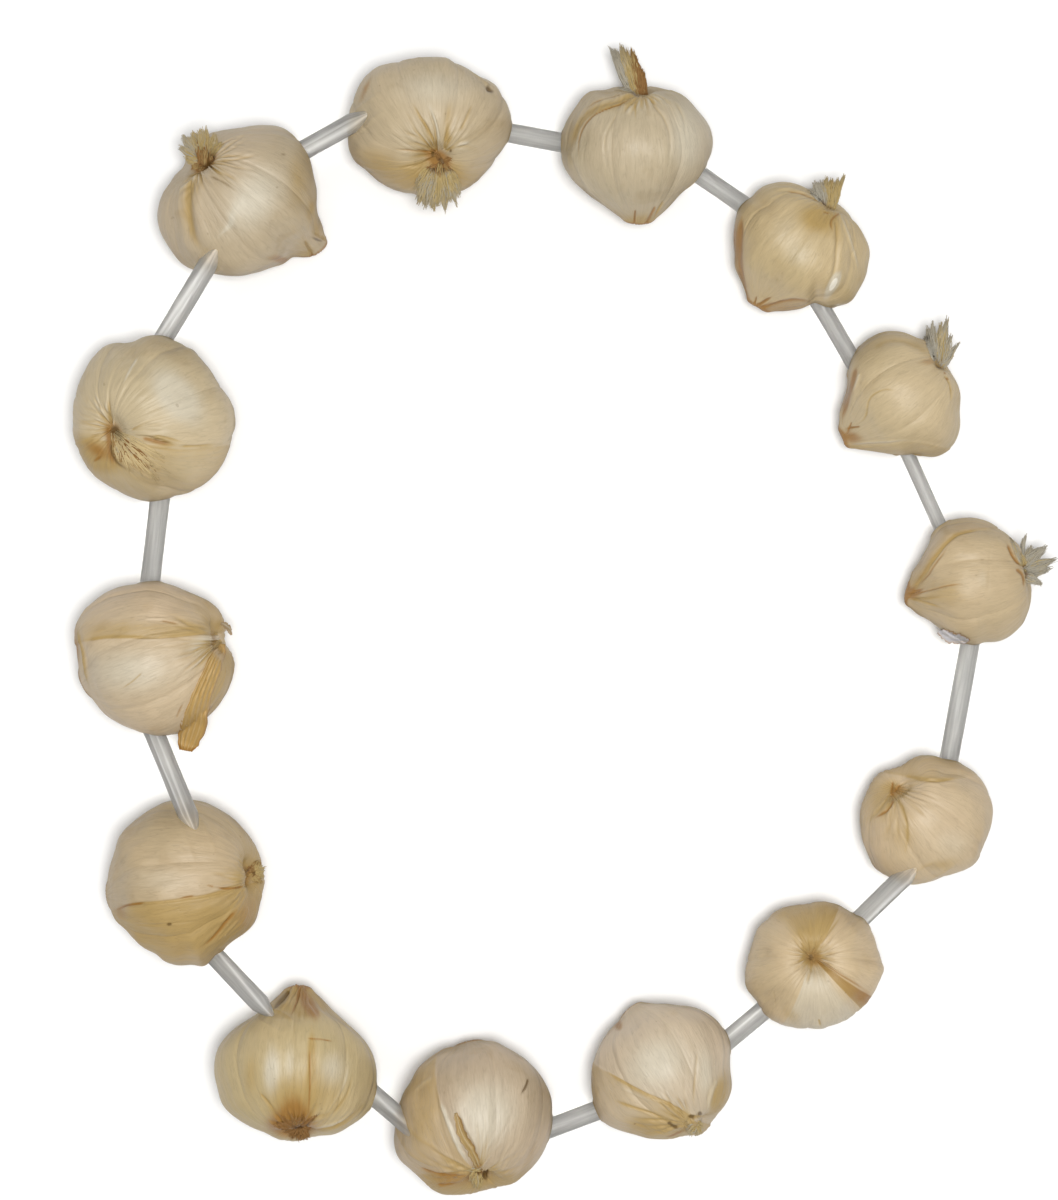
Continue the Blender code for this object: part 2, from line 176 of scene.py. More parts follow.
SKINS = (
    (   # bulb_01
        Pit(-10.5, 12.0, 2.6, 2.2), Fan(-9.5, 10.5, -52, 34, 15, 16, 0.55),
        Fan(-11.5, 8.0, 200, 305, 16, 11, 0.35),
        Crease(((-8, 5.5), (-3, 3), (2.5, -0.5)), 0.5, 0.5, DARK, 0.5),
        Crease(((-5, 10.5), (0, 9), (4, 8)), 0.5, 0.4, DARK, 0.4),
        Crease(((-5, 16), (0, 18.5)), 0.5, 0.3, RUST, 0.5),
        Crease(((-13.5, 6), (-14.8, -2), (-14.8, -8), (-12.5, -15), (-6.5, -20)),
            2.4, 1.1, OCHRE, 0.7), Crease(((-12, 6), (-18.5, 0.5)), 0.6, -0.4, PALE_AND_SHEEN, 0.6),
        Crease(((3.5, -1.5), (0, -7), (-1, -10), (-5, -14)), 0.8, -0.2, PALE_AND_SHEEN, 0.9),
        Patch(7, -2, 13, 8, 60, PALE_AND_SHEEN, 0.8), Patch(14.5, -18.9, 4, 1.1, 8, RUST, 1.0),
        Patch(20, 5, 14, 4, 90, OCHRE, 0.5), Patch(24.5, -5, 4, 1.5, 90, OCHRE, 0.9),
        Patch(15.5, 13, 1.0, 0.6, 0, DARK, 0.6), Patch(13.7, 1.8, 0.5, 0.5, 0, DARK, 0.5),
        Patch(-20.5, -7, 1.0, 0.4, 0, DARK, 0.6), Patch(24.5, -11.5, 1.2, 0.4, 0, DARK, 0.8),
        Patch(-10.5, 12.2, 4.4, 3.6, 40, RUST, 1.5), Patch(-10.0, 11.6, 2.6, 2.6, 40, DARK, 0.7),
        Patch(-8.4, 12.2, 0.8, 2.0, 20, DARK, 1.2), Patch(-10.8, 9.6, 0.9, 0.9, 0, DARK, 1.4),
        Crease(((21, -12.5), (22.5, -16), (23, -19)), 0.7, 0.8, OCHRE, 0.7),
        Crease(((24, -10), (27.5, -11)), 0.6, 0.6, OCHRE, 0.5),
        Crease(((25, -18), (27, -15), (28.5, -12.5)), 0.5, 0.5, RUST, 0.6),
        Patch(21, -17.5, 3, 2, -50, OCHRE, 0.5),
    ),
    (   # bulb_02
        Fan(3, -11, 92, 195, 30, 14, 0.3), Fan(5, -10.5, 5, 90, 14, 12, 0.28),
        Crease(((2.5, -10.3), (-5, -10.8), (-12, -10)), 0.45, 0.4, RUST, 0.5),
        Crease(((1, -12.5), (-4, -15), (-9, -15.5)), 0.6, 0.4, OCHRE, 0.7),
        Crease(((4, -8), (2.5, -2), (0.5, 3)), 0.6, -0.45, PALE_AND_SHEEN, 0.6),
        Crease(((2.5, -8.5), (-2, -1), (-5, 4)), 0.6, 0.4, OCHRE, 0.5),
        Crease(((6, -9), (6.5, -2), (7.5, 6)), 1.6, 0.25, OCHRE, 0.5),
        Crease(((8, -10), (11, -8.5), (14, -7)), 0.6, -0.4, PALE_AND_SHEEN, 0.5),
        Crease(((10.5, -5), (13, 1), (15, 5)), 0.7, 0.3, OCHRE, 0.4),
        Patch(4, -13.5, 4.2, 2.8, -30, RUST, 0.6), Patch(3.8, -12.6, 1.5, 0.8, -42, DARK, 1.3),
        Patch(5.6, -14.8, 1.2, 0.6, -60, DARK, 1.1), Patch(1.5, -11, 1.1, 0.6, 60, DARK, 1.0),
        Patch(1.2, -15.3, 0.9, 0.5, 0, DARK, 0.9), Patch(7.3, -10.3, 0.5, 0.5, 0, DARK, 0.9),
        Patch(3, -18, 9, 5, 0, OCHRE, 1.2), Patch(5, -14, 2.5, 2.5, 0, RUST, 0.5),
        Pit(20, 10.5, 1.1, 1.3), Patch(20, 10.5, 1.3, 0.8, -40, DARK, 1.4),
        Crease(((20, 11.5), (16.5, 14), (12, 18)), 0.7, -0.5, OCHRE, 0.3),
        Patch(-15, -14, 10, 4, -30, OCHRE, 0.5), Patch(2, 9, 15, 8, 0, PALE_AND_SHEEN, 0.6),
        Patch(-20.5, 10, 6, 1.2, 65, RUST, 0.6),
    ),
    (   # bulb_03
        Fan(1, 16, 195, 345, 30, 9, 0.4), Pit(1, 17, 2.6, 2.4),
        Layer(((1, 15), (-7, 12), (-14, 10), (-19.6, 5.5), (-21.4, 0), (-21, -6), (-17, -14)),
            0.3, PALE_AND_SHEEN, 0.4, 6),
        Crease(((0, 14.8), (-6, 11.8), (-14, 9.5), (-19.3, 5.2), (-21, 0), (-20.7, -6)),
            2.0, 0.35, OCHRE, 0.9), Patch(-22, 0, 9, 2.5, 88, DARK, -0.6),
        Patch(-20.5, 2, 6, 1.5, 80, PALE_AND_SHEEN, 0.5),
        Crease(((-2, 15.6), (-8, 14.2), (-14, 12.4), (-19.5, 8)), 0.4, 0.35, RUST, 0.7),
        Crease(((-2, 13.6), (-8, 10.6), (-13.6, 8), (-17.8, 4), (-19.4, -1), (-18.6, -8)),
            0.4, 0.4, RUST, 0.9),
        Crease(((-1, 15.5), (-8, 13.5), (-16, 11.5)), 0.8, -0.5, PALE_AND_SHEEN, 0.3),
        Crease(((3, 15.5), (4.8, 10), (8, 5.5), (9.5, -2), (8, -14)), 0.8, 0.4, OCHRE, 0.3),
        Crease(((-7, 8), (-11, 0), (-11, -9)), 0.6, 0.25, OCHRE, 0.3),
        Crease(((-1.5, 13), (-1.5, 5)), 0.5, 0.25, OCHRE, 0.45),
        Crease(((11, 12), (14, 6), (15, -4)), 0.7, 0.25, OCHRE, 0.25),
        Patch(15, 0, 14, 7, 90, PALE_AND_SHEEN, 0.7), Crease(((-1, -20.5), (-1, -25)), 0.4, 0.4, RUST, 1.0),
        Crease(((5.5, -19.5), (2, -24.5)), 0.5, 0.4, RUST, 0.9),
        Crease(((8, -18), (5, -22)), 0.4, 0.3, OCHRE, 0.7), Patch(1, -24, 6, 2, 0, OCHRE, 0.8),
        Patch(-1.5, 15.3, 1.6, 0.8, 0, DARK, 0.8),
    ),
    (   # bulb_04
        Fan(8.5, 11.5, 140, 260, 14, 7, 0.35), Pit(8.5, 12.5, 2.2, 1.4),
        Patch(3.5, 6.5, 6.5, 5, -20, OCHRE, 0.75), Patch(7, 8, 4, 2.5, 0, OCHRE, 0.4),
        Crease(((12, 10), (8.5, 6.5), (9, 2)), 0.6, 0.45, RUST, 0.7),
        Crease(((6, 9.5), (8.5, 9)), 0.4, 0.3, RUST, 0.7),
        Crease(((11, 10), (14, 3), (17, -5), (18, -10)), 0.8, -0.4, PALE_AND_SHEEN, 0.5),
        Crease(((10, 8), (10.5, 0), (9.5, -10), (6, -18)), 1.2, 0.7, OCHRE, 0.3),
        Crease(((-10, 18.2), (-2, 17.6), (5, 14.5), (9, 12)), 0.9, -0.5, PALE_AND_SHEEN, 0.3),
        Crease(((-6, 17), (0, 16), (6, 13)), 0.5, 0.3, RUST, 0.6),
        Crease(((-19.5, 9), (-20, -4), (-18, -13), (-15, -19)), 0.9, 0.35, RUST, 1.2),
        Crease(((-14, -18.5), (-9, -16.3)), 0.5, 0.4, RUST, 1.0),
        Crease(((-14, -19.3), (-5, -18), (5, -18.2)), 0.6, 0.35, RUST, 0.7),
        Crease(((-14.5, -18), (-14, -15.5)), 0.4, 0.3, RUST, 0.8),
        Patch(-5, -20, 13, 1.8, 0, RUST, 0.5), Patch(-7, 3, 8, 6, 60, PALE_AND_SHEEN, 0.35),
        # Pale patches here are painted sheen; the long one on the right lobe is a painted glossy
        # highlight.
        Patch(-2, -5, 5, 4, 40, PALE_AND_SHEEN, 0.35), Patch(9.5, -13.5, 3.4, 1.3, 62, PALE_AND_SHEEN, 2.4),
        Patch(-22, 0, 12, 1.6, 85, RUST, 0.7),
    ),
    (   # bulb_05
        Pit(12, 10.3, 2.2, 1.6), Patch(12, 9.8, 2.5, 2, 0, OCHRE, 1.1),
        Patch(11.2, 9.2, 1.5, 0.7, -40, DARK, 1.1), Patch(7, 10.5, 4, 1.5, 10, RUST, 0.5),
        Crease(((-11, 14), (-5, 17.2), (4, 15.5), (10, 11)), 1.8, 0.25, OCHRE, 0.5),
        Crease(((-15.5, 9), (-17.7, 0), (-19, -9)), 0.9, 0.3, RUST, 1.1),
        Crease(((-14.5, 7), (-16.8, 0)), 0.6, -0.4, PALE_AND_SHEEN, 0.5),
        Crease(((-4, 0.5), (-8, 0.8), (-12, -2), (-13, -8), (-17, -10)), 0.5, 0.25, OCHRE, 0.6),
        Crease(((-14, -10.3), (-18, -10.5)), 0.4, 0.4, RUST, 0.9),
        Crease(((-16.5, -8.5), (-17.5, -12)), 0.4, 0.3, RUST, 0.7),
        Patch(-16.5, -13.5, 4, 2, -20, RUST, 0.8),
        Layer(((20, -17.5), (12, -16.5), (4, -15), (-4, -15.8), (-12, -16.3), (-19, -15)),
            0.3, OCHRE, 0.35, 8),
        Crease(((-17, -15.6), (-6, -15.2), (4, -14.6)), 0.5, -0.3, PALE_AND_SHEEN, 0.5),
        Crease(((12, 6), (14, 2), (14.5, -4)), 0.5, 0.3, OCHRE, 0.6),
        Patch(13, 4.5, 0.7, 0.5, 0, RUST, 0.8), Patch(12.5, 6.5, 0.5, 0.5, 0, RUST, 0.8),
        Patch(3, -3, 9, 9, 0, PALE_AND_SHEEN, 0.25),
    ),
    (   # bulb_06
        Layer(((5, 17.5), (0, 17), (-6.5, 15), (-11, 10), (-15, 4), (-19, -3.5)),
            -0.3, RUST, 0.3, 6),
        Crease(((-19, -3.5), (-15, 4), (-11, 10), (-6.5, 15), (0, 17), (4, 17.3)),
            0.8, 0.45, OCHRE, 0.9), Crease(((-17, -1), (-12.5, 6), (-8, 12)), 0.5, 0.3, RUST, 0.6),
        Crease(((-20, -4), (-16, -2)), 0.5, 0.4, RUST, 1.2),
        Crease(((-19.5, -4.2), (-10, -1.5), (-3, -0.5)), 0.5, 0.3, RUST, 0.6),
        Crease(((-19.5, -5.8), (-12, -5)), 0.5, 0.3, OCHRE, 0.9),
        Crease(((-19.5, -5), (-10, -9)), 0.5, 0.25, OCHRE, 0.5),
        Patch(-19.5, -4, 2.2, 2, 0, RUST, 0.9),
        Crease(((10.5, 12.5), (13, 7.5), (16.5, 4.5)), 0.8, 0.5, RUST, 0.9),
        Crease(((13, 4.2), (15.5, 2), (16, -2.5)), 0.8, 0.4, RUST, 1.1),
        Patch(1.5, 1.5, 4, 2.5, 90, PALE_AND_SHEEN, 0.35), Patch(-11, -4, 8, 6, 0, OCHRE, 0.5),
        Crease(((5, 14), (4, 4), (3, -8)), 0.5, 0.15, OCHRE, 0.2),
        Patch(1.6, 7.2, 1.2, 0.4, 0, DARK, 0.4), Patch(8, 14.5, 0.8, 0.5, 0, DARK, 0.4),
    ),
    (   # bulb_07
        Fan(-12.5, 10, 225, 305, 20, 14, 0.22), Fan(-12, 11, -50, 30, 14, 13, 0.28),
        Crease(((-12, 13.5), (-12.8, 8)), 0.45, 0.4, RUST, 0.9),
        Crease(((-10, 12.3), (-12, 9.5)), 0.4, 0.3, RUST, 0.8),
        Crease(((-12.5, 8), (-15, 4.5), (-19.5, 1)), 0.5, 0.4, RUST, 1.0),
        Patch(-12, 11, 2.6, 2.6, 0, OCHRE, 0.6), Patch(-12, 10.8, 1.2, 0.5, 80, DARK, 0.4),
        Patch(-17, 8, 7, 4, 75, OCHRE, 0.45), Patch(-13.5, 8.5, 4, 4, 0, DARK, -0.7),
        Layer(((9, 14.6), (0, 14), (-9, 15.2), (-14, 16)), -0.15, OCHRE, 0.35, 12),
        Crease(((-9, 15), (0, 14), (8, 14.6)), 0.6, 0.35, OCHRE, 0.6),
        Crease(((-11.3, 8), (-9.4, 3), (-8.7, -3), (-9.2, -9)), 0.5, 0.15, OCHRE, 0.5),
        Patch(-10, -6, 10, 6, 90, OCHRE, 0.35), Patch(6, -6, 8, 7, 0, PALE_AND_SHEEN, 0.4),
        Patch(3, -13, 6, 2.5, 10, OCHRE, 0.5),
    ),
    (   # bulb_08
        Pit(-2, 5, 1.8, 2.0), Fan(-2, 5, 0, 360, 56, 10, 0.42),
        Wedge(-2, 5, 56, 128, 0.5, 4, OCHRE, 0.62), Wedge(-2, 5, 56, 80, 0.5, 3, OCHRE, 0.35),
        Wedge(-2, 5, -47, -35, 2, 0.3, RUST, 0.42), Wedge(-2, 5, -47, -35, 2, 0.5, OCHRE, 0.9),
        Crease(((1, 3.6), (6, 0.2), (12, -3.7), (17, -7.2)), 0.7, -0.4, RUST, 0.6),
        Wedge(-2, 5, -110, -50, 6, 3, PALE_AND_SHEEN, 0.6), Patch(-2, 5, 2.2, 2.0, 0, OCHRE, 1.0),
        Patch(-2, 4.8, 0.8, 1.0, 0, DARK, 1.0), Patch(15.5, -8.5, 3.5, 2.2, -35, RUST, 0.6),
        Crease(((0, 3.5), (6, 0), (17, -7.5)), 0.4, 0.4, DARK, 0.25),
        Crease(((0, 8), (4, 13), (9, 18)), 0.5, 0.35, OCHRE, 0.6),
        Crease(((0.5, -15.5), (1.5, -18)), 0.5, 0.5, OCHRE, 0.8),
        Crease(((-14, -6), (-13, -12)), 0.4, 0.15, OCHRE, 0.3),
        Patch(-8, -15, 5, 3, -40, OCHRE, 0.5),
    ),
    (   # bulb_09
        Layer(((8.5, -14), (2, -9.5), (-8, -5), (-18, 0), (-24, 2)), 0.3, OCHRE, 0.42, 30),
        Crease(((-18, 0), (-8, -5), (2, -9.5), (8.5, -14)), 0.5, 0.4, OCHRE, 0.9),
        Fan(8.5, -15.5, 100, 200, 22, 16, 0.4), Pit(9.6, -16.6, 3.2, -2.2),
        Crease(((6.4, -19.5), (6.2, -16), (8, -13.6), (11, -13.4), (13, -15)),
            0.6, 0.5, OCHRE, 0.9), Patch(9.4, -17.8, 2.6, 2.4, 0, PALE_AND_SHEEN, 0.5),
        Crease(((-15, -9), (-5, -12), (2, -14.5)), 0.5, 0.4, OCHRE, 0.8),
        Crease(((-14, -4.5), (-2, -9)), 0.5, -0.25, PALE_AND_SHEEN, 0.3),
        Patch(8.3, -13.2, 1.0, 0.6, 0, DARK, 1.2), Patch(11, -12.6, 0.8, 0.7, 0, DARK, 1.2),
        Patch(1.6, -15.6, 0.7, 0.6, 0, DARK, 1.2), Patch(3, -16.8, 1.2, 0.6, -20, DARK, 1.2),
        Patch(-9.5, -16.5, 0.4, 0.4, 0, DARK, 0.7),
        Crease(((10.5, 8), (9.5, -2), (9, -10)), 0.7, 0.35, OCHRE, 0.45),
        Crease(((17, -2), (15, -7), (13.5, -13)), 0.7, -0.4, PALE_AND_SHEEN, 0.8),
        Patch(17.5, -8, 7, 3, 75, OCHRE, 0.8), Patch(-3, 4, 12, 9, 30, PALE_AND_SHEEN, 0.8),
        Patch(13, 0, 9, 3, 90, PALE_AND_SHEEN, 0.6), Patch(-14.5, 13.5, 1.6, 1.2, 40, RUST, 0.9),
        Patch(3.5, -20.3, 3, 0.8, 10, RUST, 0.9), Patch(-5, -17, 9, 3, -5, OCHRE, 0.4),
    ),
    (   # bulb_10
        Layer(((-13, 24), (-12, 13), (-9.5, 4), (-4.5, -8), (-1, -13)), -0.3, OCHRE, 0.42, 14),
        Patch(-17, 2, 16, 6, 82, OCHRE, 0.35), Patch(-2, -22, 17, 5, 0, OCHRE, 0.6),
        Crease(((-18, -14.5), (-10, -15.8), (-3, -16.5)), 0.7, 0.5, RUST, 0.6),
        Crease(((-16, -18), (-9, -18), (-3, -17.6)), 0.7, 0.5, OCHRE, 0.9),
        Crease(((-12, -20.5), (-5, -19.5)), 0.6, 0.4, RUST, 0.6),
        Crease(((-5.5, 4.5), (-4, 0), (-2.2, -4), (0.5, -8.5), (1.5, -12.5)), 1.3, 0.5, RUST, 0.7),
        Crease(((-11, 8), (-8, 1), (-4.5, -7), (-1, -13)), 0.8, -0.6, PALE_AND_SHEEN, 0.9),
        Fan(1, -15, 150, 212, 20, 17, 0.65), Fan(2, -14, 55, 125, 24, 22, 0.3),
        Fan(3, -16, -5, 50, 14, 14, 0.4), Patch(-6, -18, 11, 4, 0, RUST, 0.5),
        Patch(1, -17, 3.5, 3.5, 0, OCHRE, 0.9),
        Crease(((4.2, -15.2), (3.4, -18), (4, -20.5)), 0.9, 1.0, DARK, 1.3),
        Crease(((1.5, -20), (3, -18)), 0.6, 0.5, DARK, 1.0),
        Patch(8, -19.5, 6, 2.5, 20, OCHRE, 0.8),
        Crease(((17.6, 14.2), (16.8, 12), (15, 9.3)), 0.45, 0.5, DARK, 1.1),
        Patch(4, 5, 13, 12, 0, PALE_AND_SHEEN, 0.8),
        Crease(((-13, 15), (-17, 12), (-19.5, 9)), 0.6, -0.3, PALE_AND_SHEEN, 0.5),
    ),
    (   # bulb_11
        Crease(((-2.2, 23.4), (-4.0, 21.3), (-6.6, 18.8)), 0.6, 1.0, DARK, 1.8),
        Crease(((-1, 25), (-1.8, 22), (-5, 18)), 0.6, -0.6, OCHRE, 0.4),
        Patch(1.5, 22, 8, 4.2, 0, OCHRE, 0.9), Patch(4.5, 20, 5, 1.6, -45, RUST, 0.9),
        Patch(4.5, 20, 5, 2.5, -45, OCHRE, 0.6), Fan(1.5, 27, 235, 305, 18, 10, 0.5),
        Crease(((4, 21.5), (8.5, 17.5)), 0.6, 0.5, RUST, 1.1),
        Crease(((1, 25), (0.5, 21), (-1, 17)), 0.5, 0.4, RUST, 0.9),
        Crease(((2.5, 24.5), (3.5, 20)), 0.5, 0.4, RUST, 0.9),
        Crease(((5, 11.5), (10, 10.8), (15, 10)), 0.35, 0.25, RUST, 0.8),
        Crease(((6.5, 14), (6.7, 4), (6.3, -5), (5, -12)), 1.8, 0.25, OCHRE, 1.0),
        Crease(((6, 9), (6.2, -2), (5.5, -12)), 0.4, 0.3, RUST, 0.8),
        Patch(-0.5, -18, 7.5, 5.5, 0, RUST, 1.5), Patch(2, -20.5, 3, 3.5, 0, DARK, 0.9),
        Patch(-3, -16, 1.2, 0.8, 30, DARK, 0.8), Patch(-5, -19, 1.4, 0.7, 10, DARK, 0.5),
        Patch(0.5, -16.5, 0.6, 0.5, 0, DARK, 0.7), Patch(3.4, -15, 0.6, 0.5, 0, DARK, 0.6),
        Patch(1, -11, 4.5, 6, 0, RUST, 0.7), Patch(0, -7, 8, 9, 0, OCHRE, 0.7),
        Patch(13, -5, 6, 9, 0, OCHRE, 0.4), Fan(1, -19, 20, 165, 34, 11, 0.5),
        Crease(((3, -19.5), (6, -15.5), (9.2, -12.4)), 0.5, 0.6, DARK, 1.3),
        Patch(2.6, -20.5, 0.8, 2.4, 0, DARK, 0.9),
        Crease(((-5, -16), (-3, -19.5)), 0.5, 0.4, DARK, 0.9),
        Crease(((0, -15), (1, -19)), 0.4, 0.4, DARK, 0.8), Patch(-6, 1, 9, 3, 90, PALE_AND_SHEEN, 0.9),
        Patch(13, 1, 7, 5, 90, PALE_AND_SHEEN, 0.7), Patch(0, 4, 7, 2, 90, PALE_AND_SHEEN, 0.5),
        Patch(-13, 0, 9, 3, 85, OCHRE, 0.5),
        Crease(((-10, -6), (-4.5, -12.5)), 0.7, 0.4, OCHRE, 0.6),
        Crease(((7, -20), (15, -17.5), (22, -12)), 0.8, 0.5, OCHRE, 0.9),
        Crease(((6, -18.5), (13, -17), (19, -14)), 0.8, -0.4, PALE_AND_SHEEN, 0.7),
        Crease(((11, -13), (16, -5), (18.5, 3)), 0.5, -0.2, PALE_AND_SHEEN, 0.3),
        Crease(((13, -13), (17.5, -7), (19.5, 0)), 0.5, 0.25, OCHRE, 0.4),
    ),
    (   # bulb_12
        Crease(((20.5, 0), (16, -0.3), (12, 0.5)), 0.5, 0.5, RUST, 1.0),
        Crease(((12, 0.5), (9.5, 1.3)), 0.4, 0.3, RUST, 0.7),
        Crease(((6, -2.2), (1, -3)), 0.5, 0.3, RUST, 0.8),
        Layer(((20, -0.5), (8, -2.5), (-3, -4), (-14, -5.2), (-21, -8), (-26, -11)),
            0.2, OCHRE, 0.35, 40),
        Crease(((20, -0.5), (8, -2.5), (-3, -4), (-14, -5.2), (-21, -8)), 0.6, 0.45, OCHRE, 0.7),
        Crease(((-10, -4.6), (-16, -5.8), (-20.5, -8)), 0.5, 0.4, RUST, 0.9),
        Crease(((-15, -12.3), (-5, -11.3), (12, -10)), 0.5, 0.25, OCHRE, 0.6),
        Patch(-2.2, -11.2, 0.9, 0.5, 0, DARK, 1.1),
        Crease(((18, -7.5), (13, -14), (6, -20)), 0.7, 0.45, RUST, 0.9),
        Crease(((20, -9), (15, -15), (9, -19)), 0.5, -0.3, PALE_AND_SHEEN, 0.3),
        Patch(21, -9, 8, 3.5, 75, RUST, 0.5), Patch(0, -15, 19, 8, 4, OCHRE, 0.8),
        Patch(-3, -9, 16, 4, 5, OCHRE, 0.45), Fan(21.5, 1.5, 105, 250, 30, 11, 0.3),
        Pit(19.3, 3.2, 2.2, -1.2), Patch(23.5, 4, 4, 3.0, 90, RUST, 0.3),
        Patch(22, 4, 5, 4, 90, OCHRE, 0.6), Patch(23, 4.2, 0.8, 0.7, 0, DARK, 1.2),
        Patch(24.3, 1.8, 0.9, 0.6, 70, DARK, 1.2), Patch(21.5, 4, 3.5, 6, 0, DARK, -0.6),
        Patch(-5, 3, 14, 6, 0, PALE_AND_SHEEN, 0.4), Patch(-19, -9, 4, 3, 0, RUST, 0.45),
    ),
    (   # bulb_13
        Layer(((28, 10), (23, 9.5), (12, 8.6), (0, 8), (-12, 8), (-20, 6.5), (-26, 5)),
            -0.4, OCHRE, 0.35, 9),
        Crease(((-20, 6.5), (-12, 8), (0, 8), (12, 8.6), (23, 9.5)), 0.45, 0.4, OCHRE, 0.9),
        Crease(((5, 13.5), (9, 12.5), (11, 12)), 0.4, 0.3, RUST, 0.7),
        Crease(((0, 14), (8, 14)), 0.5, -0.3, PALE_AND_SHEEN, 0.3), Fan(22.5, 7, 180, 246, 26, 18, 0.34),
        Fan(22, 8.5, 150, 178, 9, 16, 0.3),
        Crease(((0, -3), (-4, -6.5), (-9, -9.5)), 0.45, 0.3, OCHRE, 0.6),
        Crease(((9.5, -18.5), (12.5, -13)), 0.5, 0.4, RUST, 0.6),
        Patch(-5, -3, 17, 9, 0, PALE_AND_SHEEN, 0.7), Patch(-1, 10.5, 23, 2.4, 0, OCHRE, 0.3),
        Patch(-24.5, 2, 10, 1.8, 85, RUST, 0.8),
        Crease(((-23, 10), (-21.3, 4), (-21, -3), (-19.5, -9)), 0.9, -0.6, OCHRE, 0.9),
        Patch(22.5, -4, 13, 3, 80, OCHRE, 1.2), Pit(19.8, 6.4, 3.0, -1.9),
        # Painted light: the hollow by the neck is lightened, with less dark and more pale, against
        # its shade.
        Patch(20, 6.6, 3, 4, 0, DARK, -0.6), Patch(19, 6.4, 4, 3, 30, PALE_AND_SHEEN, 0.5),
        Patch(23, 11, 2, 2, 0, OCHRE, 0.5),
    ),
    (   # bulb_14
        Fan(-11, -4, 85, 215, 36, 13, 0.42),
        Crease(((-11, -2.5), (-14.5, 2), (-16.5, 8)), 0.6, -0.6, PALE_AND_SHEEN, 0.8),
        Crease(((-5, -6.4), (0, -6.9), (4, -7.6), (8, -9.4), (11.5, -10.2)), 0.5, 0.35, DARK, 0.3),
        Crease(((-1, -7.4), (4, -8.6), (9, -9.6)), 1.0, 0.15, RUST, 0.8),
        Crease(((1, -6.6), (5, -8.6), (9, -8.8)), 0.35, 0.3, DARK, 0.35),
        Crease(((2, -8.2), (6, -8.0), (10, -10)), 0.35, 0.3, DARK, 0.3),
        Crease(((3, -6.6), (8, -7.6), (13, -9)), 0.4, 0.3, OCHRE, 0.6),
        Patch(5, -8.6, 5, 1.4, -12, OCHRE, 0.8),
        Crease(((11, -10), (17, -9.6), (23, -8.5)), 0.6, 0.35, OCHRE, 0.7),
        Layer(((24, -9), (12, -10.8), (5, -10), (-4, -8.5), (-13, -8), (-26, -8)),
            0.2, OCHRE, 0.4, 30), Patch(-17, -11.5, 7, 3.6, -25, OCHRE, 1.4),
        Patch(-16, -11, 5, 2.4, -30, RUST, 0.75), Patch(10, 6, 11, 6, -50, PALE_AND_SHEEN, 1.15),
        Crease(((-3, 18.5), (-5, 14), (-7, 9)), 0.5, -0.35, PALE_AND_SHEEN, 0.8),
        Crease(((-15, -13), (-18, -14.5)), 0.4, 0.3, RUST, 0.8),
        Patch(-10.3, -5, 1.8, 1.6, 80, DARK, 1.2), Patch(-11.6, -10, 5, 1.2, 100, RUST, 0.9),
        Fan(-5, -5, 0, 25, 9, 18, 0.16), Patch(-5, -12, 8, 3.2, -42, RUST, 0.8),
        Patch(-7, -12, 6, 3, -42, DARK, 0.4),
        Crease(((-11.8, -8), (-11.4, -12), (-9, -15.5), (-4, -17.8)), 0.9, 0.3, DARK, 0.6),
    ),
)

